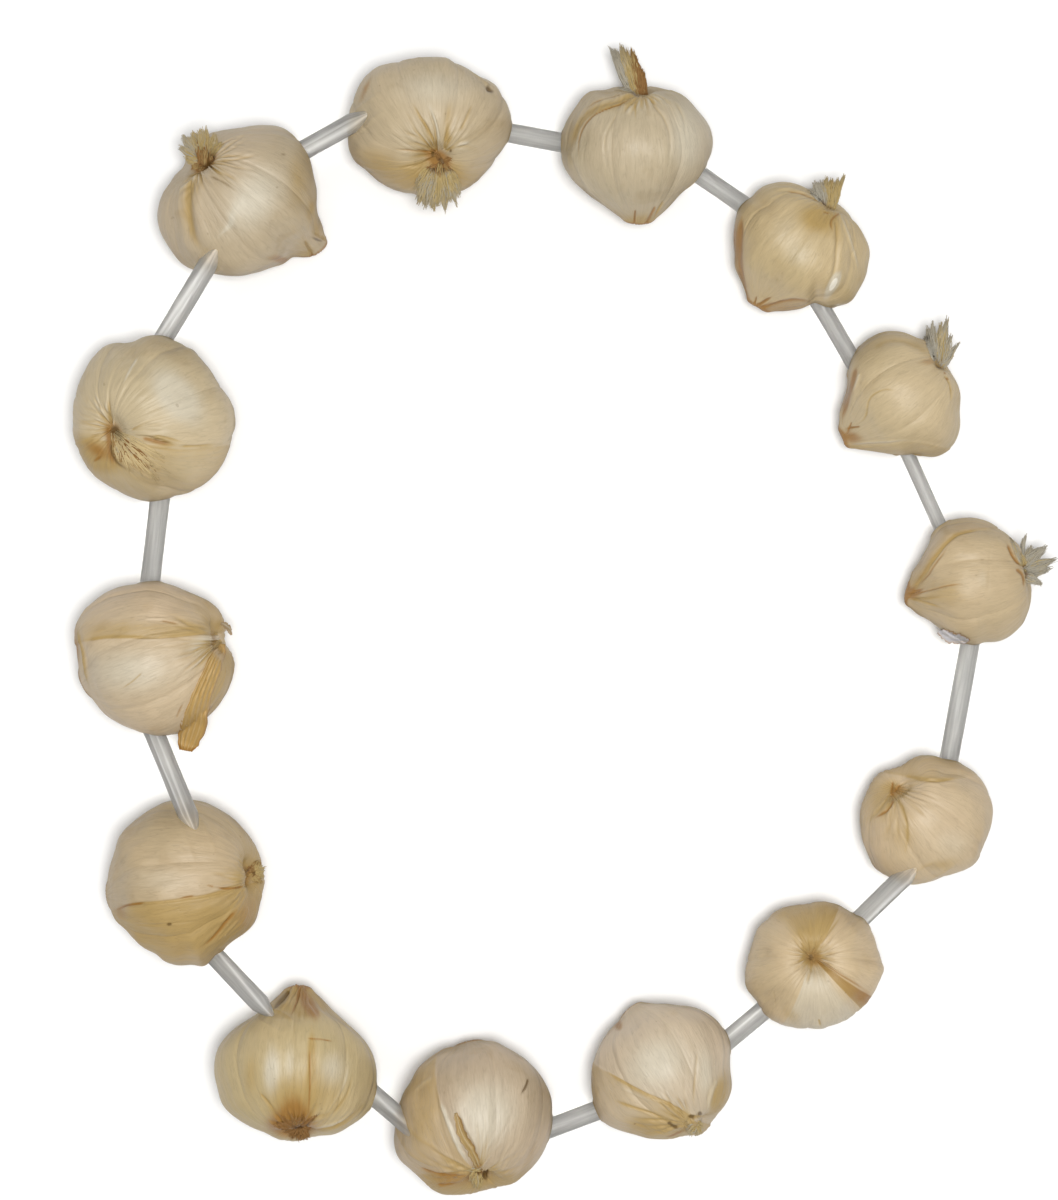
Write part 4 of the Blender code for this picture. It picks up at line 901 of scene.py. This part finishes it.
def make_bulb(bulb, number, plain, coarse, marks, straws, material):
    """One bulb with its marks. Gives back its middle and its skin from above, in mm."""
    mesh = plain.copy()
    mesh.name = f"garlic_{number:02d}"
    local = read_points(plain)
    middle = bulb_middle(bulb, number, coarse)
    place = shape_bulb(bulb, local)
    slimmer, *trims = TRIMS[number - 1]
    trim(place, slimmer, trims)
    write_points(mesh, place)
    normals = read_normals(mesh)

    chance = random.Random(number)
    turn, width = round_axis(local)
    # Broad unevenness, then fine ribs that run from the roots to the neck.
    height = ripple(place, chance, 16, 0.22) + ripple(place, chance, 7, 0.07)
    calm = 0.5 if number in SMOOTH_SKINNED else 1
    for waves, amount in ((19, 0.03), (31, 0.03), (47, 0.025)):
        height += calm * amount * np.sin(waves * turn + chance.uniform(0, 6.3)
                                  + np.sin(3 * local[:, 2] + waves)) * fade(width, 0.05, 0.5)

    pressed, stains_and_shading = np.zeros(len(place)), np.zeros((len(place), 4))
    for mark in marks:
        PRESS[type(mark)](mark, place[:, :2], pressed, stains_and_shading)
    # The marks show on the upper side only.
    upper = fade(normals[:, 2], -0.25, 0.1)
    height += pressed * upper
    stains_and_shading *= upper[:, None]

    # The gathered ends: pleats round the root plate and the neck on the side that lies down.
    lower = 1 - upper
    for end, reach in ((fade(local[:, 2], 0.45, 0.9), 23), (fade(local[:, 2], -0.6, -1), 17)):
        pleats = np.abs(np.sin(reach * turn + 2 * np.sin(2 * turn)))
        height += 0.35 * end * (pleats - 0.5) * (0.25 + 0.75 * lower) * fade(width, 0.03, 0.2)
        stains_and_shading[:, OCHRE] += 0.45 * end * (0.3 + 0.7 * lower)
    stains_and_shading[:, RUST] += 0.9 * fade(local[:, 2], -0.93, -1.0) + 0.5 * fade(width, 0.22, 0.05)
    # Painted shade: skin that faces sideways or down is darkened and browned, so that the bulbs'
    # rims look shaded.
    stains_and_shading[:, DARK] += 0.42 * fade(normals[:, 2], 0.32, 0.0)
    stains_and_shading[:, OCHRE] += 0.35 * fade(normals[:, 2], 0.6, 0.0)

    pucker = straw_pucker(place, middle, straws)
    place += normals * (height + PUCKER_RISE * pucker)[:, None] + middle
    # Painted shade: the skin round each straw is browned a little, as if shaded where the straw
    # goes in.
    stains_and_shading[:, OCHRE] += 0.15 * pucker
    place[:, 2] = np.maximum(place[:, 2], 0)
    write_points(mesh, place * MM)

    write_attribute(mesh, "stains_and_shading", "FLOAT_COLOR", np.clip(stains_and_shading, 0, 2))
    write_attribute(mesh, "grain", "FLOAT_VECTOR", from_axis(turn, 1, 0.14 * local[:, 2]))
    add_piece(mesh.name, mesh, material, replaced=f"bulb_{number:02d}")
    return middle, place[normals[:, 2] > 0.05]


def add_object(name, data):
    made = bpy.data.objects.new(name, data)
    bpy.context.scene.collection.objects.link(made)
    return made


def add_wall(piece, thickness, offset):
    wall = piece.modifiers.new("wall", "SOLIDIFY")
    wall.thickness = thickness * MM
    wall.offset = offset


def add_piece(name, mesh, material, replaced=None):
    """A finished piece in the frame. One that stands for a CAD node names it in replaced."""
    mesh.materials.clear()
    mesh.materials.append(material)
    piece = add_object(name, mesh)
    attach(piece, "root")
    if replaced:
        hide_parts(replaced)
    return piece


# ---- fibres ---------------------------------------------------------------------------------

def rod(name, sides, cuts, depth, closed):
    """A straight rod along +Z with radius 1, cut across evenly."""
    bm = bmesh.new()
    bmesh.ops.create_cone(bm, cap_ends=closed, segments=sides, radius1=1, radius2=1, depth=depth)
    rails = [edge for edge in bm.edges if abs(edge.verts[0].co.z - edge.verts[1].co.z) > 0.5]
    bmesh.ops.subdivide_edges(bm, edges=rails, cuts=cuts)
    bmesh.ops.recalc_face_normals(bm, faces=bm.faces[:])
    return mesh_from(bm, name)


def make_fibres(name, template, lines, radii, hue, material):
    """One piece of a copied rod for each line (count, rings, 3), radii (count, rings), in mm."""
    bm = bmesh.new()
    for _ in lines:
        bm.from_mesh(template)
    mesh = mesh_from(bm, name)
    count, rings, _ = lines.shape
    local = read_points(mesh).reshape(count, -1, 3)
    ring = np.rint(local[:, :, 2] + (rings - 1) / 2).astype(int)
    ahead = unit(np.gradient(lines, axis=1))
    side = unit(np.cross(ahead, (0.0, 0.0, 1.0)) + 1e-6)
    over = np.cross(side, ahead)
    index = np.arange(count)[:, None]
    place = (lines[index, ring] + radii[index, ring][..., None]
             * (side[index, ring] * local[:, :, :1] + over[index, ring] * local[:, :, 1:2]))
    write_points(mesh, place.reshape(-1, 3) * MM)
    write_attribute(mesh, "hue", "FLOAT", np.repeat(hue, local.shape[1]))
    write_attribute(mesh, "along", "FLOAT", (ring / (rings - 1)).ravel())
    mesh.shade_smooth()
    add_piece(name, mesh, material)


def skin_top(plan, skin):
    """Height of the skin under each plan point, and how far off in plan the skin is."""
    top = np.empty(len(plan))
    off = np.empty(len(plan))
    for k, point in enumerate(plan):
        apart = ((skin[:, :2] - point) ** 2).sum(axis=1)
        nearest = apart.argmin()
        top[k], off[k] = skin[nearest, 2], math.sqrt(apart[nearest])
    return top, off


def lift_clear(points, skin, gap):
    """Raises the points that would be under the skin to just above it."""
    top, off = skin_top(points[:, :2], skin)
    points[:, 2] = np.where(off < 0.8, np.maximum(points[:, 2], top + gap), points[:, 2])


def bunch_lines(bunch, middle, skin, chance):
    """The fibres' lines of one bunch: spread at the foot, bowed out, ragged at the tip."""
    foot = np.array((*bunch.foot, 0)) + middle
    foot[2] = skin_top(foot[None, :2], skin)[0][0] - bunch.sunk
    way = np.array((*bunch.tip, 0)) - (*bunch.foot, 0)
    side = unit(np.array((-way[1], way[0], 0)))
    up = np.array((0, 0, 1))
    wide = chance.uniform(-1, 1, bunch.count)
    high = chance.uniform(-1, 1, bunch.count)
    reach = 1 - 0.2 * np.abs(wide) ** 2 - chance.uniform(0, 0.32, bunch.count)
    way = way + up * bunch.rise

    def at(share, half):
        return (foot + np.outer(share * reach, way) + np.outer(wide * half, side)
                + np.outer(high * half * 0.6, up))

    start, end = at(0, bunch.foot_half), at(1, bunch.tip_half)
    start += np.outer(chance.uniform(-0.07, 0.07, bunch.count), way)
    bend = 2 * (at(0.45, bunch.half) + 0.12 * bunch.half * up) - (start + end) / 2
    t = np.linspace(0, 1, FIBRE_RINGS)[None, :, None]
    lines = (start[:, None] * (1 - t) ** 2 + bend[:, None] * 2 * t * (1 - t)
             + end[:, None] * t ** 2)
    lines += chance.normal(0, 0.2, lines.shape) * (0.3 + t)
    return lines


def grow_roots(number, rows, middle, skin, template, material):
    """One piece of all the bulb's root fibres, lifted clear of its skin."""
    chance = np.random.default_rng(number)
    bunches = [Bunch(*row) for row in rows]
    lines = np.concatenate([bunch_lines(bunch, middle, skin, chance) for bunch in bunches])
    hue = np.concatenate([np.full(bunch.count, bunch.hue) for bunch in bunches])
    hue += chance.normal(0, 0.09, len(hue))
    points = lines[:, 1:].reshape(-1, 3)
    lift_clear(points, skin, ROOT_GAP)
    lines[:, 1:] = points.reshape(len(lines), -1, 3)
    radii = chance.uniform(*FIBRE_RADII, len(lines))[:, None] * FIBRE_TAPER
    make_fibres(f"garlic_{number:02d}_roots", template, lines, radii, hue, material)


def make_leaf(name, leaf, seed, middle, skin, material):
    """A thin pleated strip of husk along the leaf's line, clear of the skin."""
    bm = bmesh.new()
    bmesh.ops.create_grid(bm, x_segments=LEAF_ACROSS, y_segments=LEAF_ALONG, size=1)
    mesh = mesh_from(bm, name)
    local = read_points(mesh)
    across, along = local[:, 0], (local[:, 1] + 1) / 2
    line = smooth_line(leaf.line, LEAF_ALONG + 1)
    ring = np.rint(along * LEAF_ALONG).astype(int)
    ahead = np.gradient(line[:, :2], axis=0)
    side = unit(np.column_stack((-ahead[:, 1], ahead[:, 0])))[ring]
    half = line[ring, 3]
    chance = random.Random(seed)
    # Torn sides: each side has its own uneven edge.
    fray = sum(np.sin(along * w + chance.uniform(0, 6.3) + 2 * np.sign(across))
               for w in (17, 31, 53)) / 3
    half = half * (1 + leaf.ragged * fray * np.abs(across))
    place = line[ring, :3] + middle
    place[:, :2] += side * (across * half)[:, None]
    lift_clear(place, skin, HUSK_GAP)
    pleat = np.sin(across * leaf.pleats * math.pi + 1.5 * np.sin(along * 5))
    place[:, 2] += 0.35 * pleat * np.minimum(half / 2, 1) + 0.4 * np.minimum(half / 2, 1) \
        - leaf.droop * np.minimum(half / 3, 1) * across ** 2
    write_points(mesh, place * MM)
    write_attribute(mesh, "grain", "FLOAT_VECTOR",
                    np.column_stack((across * half * 0.04, across * 0 + seed, along * 0.12)))
    stains_and_shading = np.zeros((len(place), 4))
    stains_and_shading[:, RUST] = 0.7 * np.abs(across) ** 4 + 0.6 * fade(along, 0.86, 1.0)
    # Painted shade and highlight: the pleats' valleys are browned with ochre and their crests
    # paled.
    stains_and_shading[:, OCHRE] = 0.4 * (0.5 - 0.5 * pleat)
    stains_and_shading[:, PALE_AND_SHEEN] = 0.35 * fade(pleat, 0.3, 1.0)
    write_attribute(mesh, "stains_and_shading", "FLOAT_COLOR", stains_and_shading)
    mesh.shade_smooth()
    add_wall(add_piece(name, mesh, material), LEAF_WALL, 0)


# ---- straws ---------------------------------------------------------------------------------

def straw_line(number):
    """The two ends of a CAD straw's own axis, in mm."""
    points = read_points(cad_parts[f"straw_{number:02d}"].data) / MM
    middle = (points.min(axis=0) + points.max(axis=0)) / 2
    way = np.linalg.svd(points - points.mean(axis=0), full_matrices=False)[2][0]
    along = (points - middle) @ way
    return middle + way * along.min(), middle + way * along.max()


def dive(tip, way, radius, tops):
    """How far a straw's end has to dip for its rim to be under the skin it goes into."""
    turn = np.linspace(0, 2 * math.pi, 24, endpoint=False)
    ring = tip + from_axis(turn, radius, 0 * turn) @ turned_to(way).T
    height, off = skin_top(ring[:, :2], tops)
    deep = (ring[:, 2] - height + UNDER_SKIN)[off < 1.0]
    return deep.max() if len(deep) else 0.0


def make_straw(number, start, end, laid, dips, material):
    """A thin tube from start to end. Its ends dip under the skin, and laid ones taper."""
    way = Vector(unit(end - start))
    length = float(np.linalg.norm(end - start))
    mesh = rod(f"drinking_straw_{number:02d}", STRAW_SIDES, STRAW_RINGS - 1, 1, closed=False)
    local = read_points(mesh)
    turn, _ = round_axis(local)
    share = local[:, 2] + 0.5
    chance = random.Random(100 + number)
    # Not quite round: nipped a little where the bulbs hold it.
    nip = 0.05 * np.cos(2 * (turn + chance.uniform(0, 6.3))) * (1 - np.sin(math.pi * share))
    radius = STRAW_RADIUS * THIN_STRAWS.get(number, 1) * (1 + nip)
    from_ends = (share * length, (1 - share) * length)
    for on_top, back in zip(laid, from_ends):
        if on_top:
            radius *= np.clip(back / TAPER_LENGTH, 0.02, 1) ** 0.7
    turned = turned_to(way)
    shaped = from_axis(turn, radius, share * length) @ turned.T + start
    for dip, back in zip(dips, from_ends):
        shaped[:, 2] -= dip * np.clip(1 - back / DIP_LENGTH, 0, 1) ** 1.6
    write_points(mesh, shaped * MM)
    grain = from_axis(turn, 1, share * length * 0.012)
    write_attribute(mesh, "grain", "FLOAT_VECTOR", grain + chance.uniform(0, 9))
    across = from_axis(turn, 1, 0 * turn) @ turned.T
    # Painted highlights: white lines along the straw, from the gleam table.
    gleam = np.zeros(len(turn))
    for first, second, half in GLEAMS.get(number, ()):
        off = across @ left_of(way) - first - (second - first) * share
        gleam = np.maximum(gleam, np.exp(-(off / half) ** 2))
    write_attribute(mesh, "gleam", "FLOAT", gleam)
    mesh.shade_smooth()
    piece = add_piece(mesh.name, mesh, material, f"straw_{number:02d}")
    add_wall(piece, STRAW_WALL, -1)


# ---- materials ------------------------------------------------------------------------------

class Nodes:
    """Adds nodes to one tree. A value given as a socket is linked, anything else is set."""

    def __init__(self, tree):
        self.tree = tree

    def add(self, kind, values=(), **settings):
        made = self.tree.nodes.new("ShaderNode" + kind)
        for key, value in settings.items():
            setattr(made, key, value)
        for key, value in dict(values).items():
            self.put(made.inputs[key], value)
        return made

    def put(self, socket, value):
        if isinstance(value, bpy.types.NodeSocket):
            self.tree.links.new(value, socket)
        elif socket.type == "RGBA" and len(value) == 3:
            socket.default_value = (*value, 1)
        else:
            socket.default_value = value

    def math(self, operation, a, b=0.0, c=0.0):
        return self.add("Math", {0: a, 1: b, 2: c}, operation=operation).outputs[0]

    def mix(self, factor, a, b, blend="MIX"):
        made = self.add("Mix", {0: factor, 6: a, 7: b}, data_type="RGBA", blend_type=blend)
        return made.outputs[2]

    def noise(self, vector, scale, detail=3.0, roughness=0.5, distortion=0.0):
        made = self.add("TexNoise", {"Vector": vector, "Scale": scale, "Detail": detail,
                                     "Roughness": roughness, "Distortion": distortion})
        return made.outputs["Fac"]

    def range(self, value, low, high, out_low=0.0, out_high=1.0):
        made = self.add("MapRange", {0: value, 1: low, 2: high, 3: out_low, 4: out_high},
                        interpolation_type="SMOOTHSTEP")
        return made.outputs[0]


def papery_skin_group():
    """Dried garlic skin: fibres along the grain, soft mottling, and stain colours, painted shade
    and painted highlights, all with frayed edges.
    """
    group = bpy.data.node_groups.new("papery_skin", "ShaderNodeTree")
    face = group.interface
    for label, kind, value in (
            ("Grain", "Vector", None), ("Place", "Vector", None), ("Stains and shading", "Color", None),
            ("Dark", "Float", 0.0), ("Tone", "Color", (0.58, 0.46, 0.29)),
            ("Ochre", "Color", OCHRE_TONE), ("Rust", "Color", RUST_TONE),
            ("Pale and sheen", "Color", PALE_AND_SHEEN_TONE), ("Dark tone", "Color", DARK_TONE),
            ("Mottle", "Float", 1.0)):
        socket = face.new_socket(label, in_out="INPUT", socket_type="NodeSocket" + kind)
        if value is not None:
            socket.default_value = (*value, 1) if kind == "Color" else value
    for label, kind in (("Color", "Color"), ("Roughness", "Float"), ("Height", "Float")):
        face.new_socket(label, in_out="OUTPUT", socket_type="NodeSocket" + kind)
    n = Nodes(group)
    given = group.nodes.new("NodeGroupInput").outputs
    out = group.nodes.new("NodeGroupOutput").inputs

    fine = n.noise(given["Grain"], 46, 4, 0.6)
    broad = n.noise(given["Grain"], 9, 2, 0.5, 0.6)
    veins = n.range(n.math("ABSOLUTE", n.math("SUBTRACT", n.noise(given["Grain"], 15, 2), 0.5)),
                    0.0, 0.035, 1, 0)
    blotch = n.noise(given["Place"], 75, 3, 0.55, 0.4)
    cloud = n.noise(given["Place"], 28, 2, 0.5)
    specks = n.range(n.noise(given["Place"], 420, 1), 0.77, 0.82)

    def frayed(value, amount=0.55):
        """The stain's own soft edge broken up along the fibres and by the blotches."""
        rough = n.math("ADD", n.math("MULTIPLY", fine, 0.6), n.math("MULTIPLY", blotch, 0.4))
        shifted = n.math("MULTIPLY_ADD", n.math("SUBTRACT", rough, 0.5), amount, value)
        return n.range(shifted, 0.12, 0.85)

    split = n.add("SeparateColor", {0: given["Stains and shading"]}).outputs
    tone = n.mix(n.math("MULTIPLY", n.range(cloud, 0.35, 0.65), given["Mottle"]),
                 given["Tone"], n.mix(1.0, given["Tone"], (1.10, 1.09, 1.12), "MULTIPLY"))
    tone = n.mix(n.math("MULTIPLY", n.range(blotch, 0.55, 0.72), given["Mottle"]), tone,
                 n.mix(1.0, tone, (0.93, 0.905, 0.86), "MULTIPLY"))
    # Pale and sheen: paler skin and painted sheen, turning to a near-white painted highlight where
    # strongest.
    pale = n.mix(n.range(split[2], 1.4, 1.8), given["Pale and sheen"], PAINTED_HIGHLIGHT_TONE)
    tone = n.mix(n.math("MULTIPLY", frayed(split[2], 0.35), 0.8), tone, pale)
    tone = n.mix(n.math("MULTIPLY", frayed(split[0]), 0.85), tone, given["Ochre"])
    tone = n.mix(n.math("MULTIPLY", frayed(split[1]), 0.85), tone, given["Rust"])
    shade = n.math("ADD", 1.0, n.math("MULTIPLY", n.math("SUBTRACT", fine, 0.5), 0.27))
    shade = n.math("ADD", shade, n.math("MULTIPLY", n.math("SUBTRACT", broad, 0.5), 0.13))
    shade = n.math("SUBTRACT", shade, n.math("MULTIPLY", veins, 0.08))
    scaled = n.add("VectorMath", {0: tone}, operation="SCALE")
    n.put(scaled.inputs["Scale"], shade)
    dark = n.math("MULTIPLY", frayed(given["Dark"], 0.5), 0.8)
    dark = n.math("MAXIMUM", dark, n.math("MULTIPLY", specks, 0.25))
    n.put(out["Color"], n.mix(dark, scaled.outputs[0], given["Dark tone"]))
    n.put(out["Roughness"], n.math("ADD", 0.34, n.math("MULTIPLY", blotch, 0.3)))
    height = n.math("ADD", n.math("MULTIPLY", fine, 0.5), n.math("MULTIPLY", broad, 0.5))
    height = n.math("SUBTRACT", height, n.math("MULTIPLY", veins, 0.12))
    n.put(out["Height"], n.math("ADD", height, n.math("MULTIPLY", blotch, 0.5)))
    return group


def new_material(name):
    """A material with its node tree, and its one shader."""
    material = bpy.data.materials.new(name)
    material.use_nodes = True
    return material, Nodes(material.node_tree), material.node_tree.nodes["Principled BSDF"]


def garlic_skin(name, group, tone, mottle):
    """Dried garlic skin in the given tone, with the stain colours, painted shade and painted
    highlights that its piece carries.
    """
    material, n, shader = new_material(name)
    stains_and_shading = n.add("Attribute", attribute_name="stains_and_shading")
    grain = n.add("Attribute", attribute_name="grain").outputs["Vector"]
    place = n.add("TexCoord").outputs["Object"]
    skin = n.add("Group", node_tree=group)
    for label, value in (("Grain", grain), ("Place", place), ("Stains and shading", stains_and_shading.outputs["Color"]),
                         ("Dark", stains_and_shading.outputs["Alpha"]), ("Tone", tone), ("Mottle", mottle)):
        n.put(skin.inputs[label], value)
    bump = n.add("Bump", {"Strength": 0.4, "Distance": 0.0006, "Height": skin.outputs["Height"]})
    n.put(shader.inputs["Base Color"], skin.outputs["Color"])
    n.put(shader.inputs["Roughness"], skin.outputs["Roughness"])
    n.put(shader.inputs["Normal"], bump.outputs[0])
    shader.inputs["Specular IOR Level"].default_value = 0.45
    return material


def dried_roots():
    """Root fibres, from cream through weathered grey and straw yellow to rust by their hue."""
    material, n, shader = new_material("dried_roots")
    hue = n.add("Attribute", attribute_name="hue").outputs["Fac"]
    along = n.add("Attribute", attribute_name="along").outputs["Fac"]
    place = n.add("TexCoord").outputs["Object"]
    patchy = n.noise(place, 260, 3)
    hue = n.math("MULTIPLY_ADD", n.math("SUBTRACT", patchy, 0.5), 0.4, hue)
    tone = n.mix(n.range(hue, 0.12, 0.5), ROOT_GREY, ROOT_STRAW)
    tone = n.mix(n.range(hue, 0.6, 1.0), tone, ROOT_RUST)
    pale = n.math("MULTIPLY", n.range(along, 0.6, 1.0), n.range(hue, 0.75, 0.35))
    tone = n.mix(n.math("MULTIPLY", pale, 0.35), tone, ROOT_TIP)
    tone = n.mix(n.math("MULTIPLY", n.range(along, 0.3, 0.0), 0.75), tone, ROOT_FOOT)
    tone = n.mix(n.range(hue, -0.1, -0.4), tone, ROOT_CREAM)
    n.put(shader.inputs["Base Color"], tone)
    shader.inputs["Roughness"].default_value = 0.7
    shader.inputs["Specular IOR Level"].default_value = 0.3
    return material


def clear_straw():
    """Thin clear plastic, a little grey and milky, with painted highlights along it where its
    gleam attribute is.
    """
    material, n, shader = new_material("clear_straw")
    grain = n.add("Attribute", attribute_name="grain").outputs["Vector"]
    streak = n.noise(grain, 4.5, 3, 0.6)
    tone = n.mix(n.range(streak, 0.38, 0.62), STRAW_DULL, STRAW_MILKY)
    # Painted highlights: the gleam lines are coloured white.
    gleam = n.add("Attribute", attribute_name="gleam").outputs["Fac"]
    tone = n.mix(gleam, tone, STRAW_GLEAM_WHITE)
    n.put(shader.inputs["Base Color"], tone)
    shader.inputs["Roughness"].default_value = 0.5
    shader.inputs["Transmission Weight"].default_value = 0.86
    shader.inputs["IOR"].default_value = 1.28
    shader.inputs["Specular IOR Level"].default_value = 0.1
    lamp = n.add("LightPath").outputs["Is Shadow Ray"]
    clear = n.add("BsdfTransparent", {"Color": STRAW_SHADOW})
    seen = n.add("MixShader", {0: lamp, 1: shader.outputs[0], 2: clear.outputs[0]})
    output = material.node_tree.nodes["Material Output"]
    n.put(output.inputs["Surface"], seen.outputs[0])
    return material


# ---- the studio -----------------------------------------------------------------------------

def add_floor():
    bm = bmesh.new()
    bmesh.ops.create_grid(bm, x_segments=1, y_segments=1, size=FLOOR_HALF)
    mesh = mesh_from(bm, "studio_floor")
    material, _, shader = new_material("pale_paper")
    shader.inputs["Base Color"].default_value = (0.93, 0.93, 0.925, 1)
    shader.inputs["Roughness"].default_value = 0.9
    mesh.materials.append(material)
    floor = add_object("studio_floor", mesh)
    floor.location.z = -FLOOR_DROP


def add_light(name, place, size, power):
    """A round soft lamp that points at the middle of the ring."""
    data = bpy.data.lights.new(name, "AREA")
    data.shape = "DISK"
    data.size = size
    data.energy = power
    lamp = add_object(name, data)
    lamp.location = place
    lamp.rotation_euler = (-Vector(place)).to_track_quat("-Z", "Y").to_euler()


def add_studio():
    scene = bpy.context.scene
    add_floor()
    add_light("key", KEY_PLACE, KEY_SIZE, KEY_POWER)
    add_light("overhead", OVERHEAD_PLACE, OVERHEAD_SIZE, OVERHEAD_POWER)
    world = bpy.data.worlds.new("studio")
    world.use_nodes = True
    sky = world.node_tree.nodes["Background"].inputs
    sky["Color"].default_value = (1, 1, 1, 1)
    sky["Strength"].default_value = WORLD_LIGHT
    scene.world = world
    scene.view_settings.view_transform = "Standard"

    data = bpy.data.cameras.new("camera")
    data.lens = CAMERA_LENS
    data.sensor_width = 36
    data.clip_start = 0.01
    camera = add_object("camera", data)
    low, high = cad_box
    camera.location = ((low.x + high.x) / 2 + CAMERA_OFF[0], (low.y + high.y) / 2 + CAMERA_OFF[1],
                       CAMERA_HEIGHT)
    scene.camera = camera


def main():
    add_studio()
    plain = lathe(SKIN_RINGS, SKIN_SIDES)
    gather_upwards(plain)
    coarse = read_points(lathe(PLAIN_RINGS, PLAIN_SIDES))
    skin = papery_skin_group()
    roots = dried_roots()
    clear = clear_straw()
    template = rod("fibre", FIBRE_SIDES, FIBRE_RINGS - 2, FIBRE_RINGS - 1, closed=True)
    lines = [straw_line(number) for number in range(1, len(BULBS) + 1)]
    tops, middles = [], []
    for number, (bulb, marks) in enumerate(zip(BULBS, SKINS), 1):
        mottle = SMOOTH_MOTTLE if number in SMOOTH_SKINNED else PLAIN_MOTTLE
        material = garlic_skin(f"skin_{number:02d}", skin, bulb.tone, mottle)
        touching = (lines[number - 1], lines[number - 2])
        middle, top = make_bulb(bulb, number, plain, coarse, marks, touching, material)
        tops.append(top)
        middles.append(middle)
        if number in BUNCHES:
            grow_roots(number, BUNCHES[number], middle, top, template, roots)
        for k, leaf in enumerate(LEAVES.get(number, ()), 1):
            name = f"garlic_{number:02d}_husk_{k}"
            husk = garlic_skin(name, skin, leaf.tone, HUSK_MOTTLE)
            make_leaf(name, leaf, 10 * number + k, middle, top, husk)
    tops = np.concatenate(tops)
    for number, (start, end) in enumerate(lines, 1):
        if np.linalg.norm(start - middles[number - 1]) > np.linalg.norm(end - middles[number - 1]):
            start, end = end, start
        way = unit(end - start)
        bulb, reach, shift = LAID_ON.get(number, (0, 0, 0))
        laid = (bulb == number, bulb == number % len(BULBS) + 1)
        aside = left_of(way) * shift
        start = start + (aside - way * reach) * laid[0]
        end = end + (aside + way * reach) * laid[1]
        dips = [dive(tip, way, TIP_RADIUS, tops) if on_top
                else max(0, dive(tip, way, STRAW_RADIUS, tops))
                for tip, on_top in zip((start, end), laid)]
        make_straw(number, start, end, laid, dips, clear)


main()
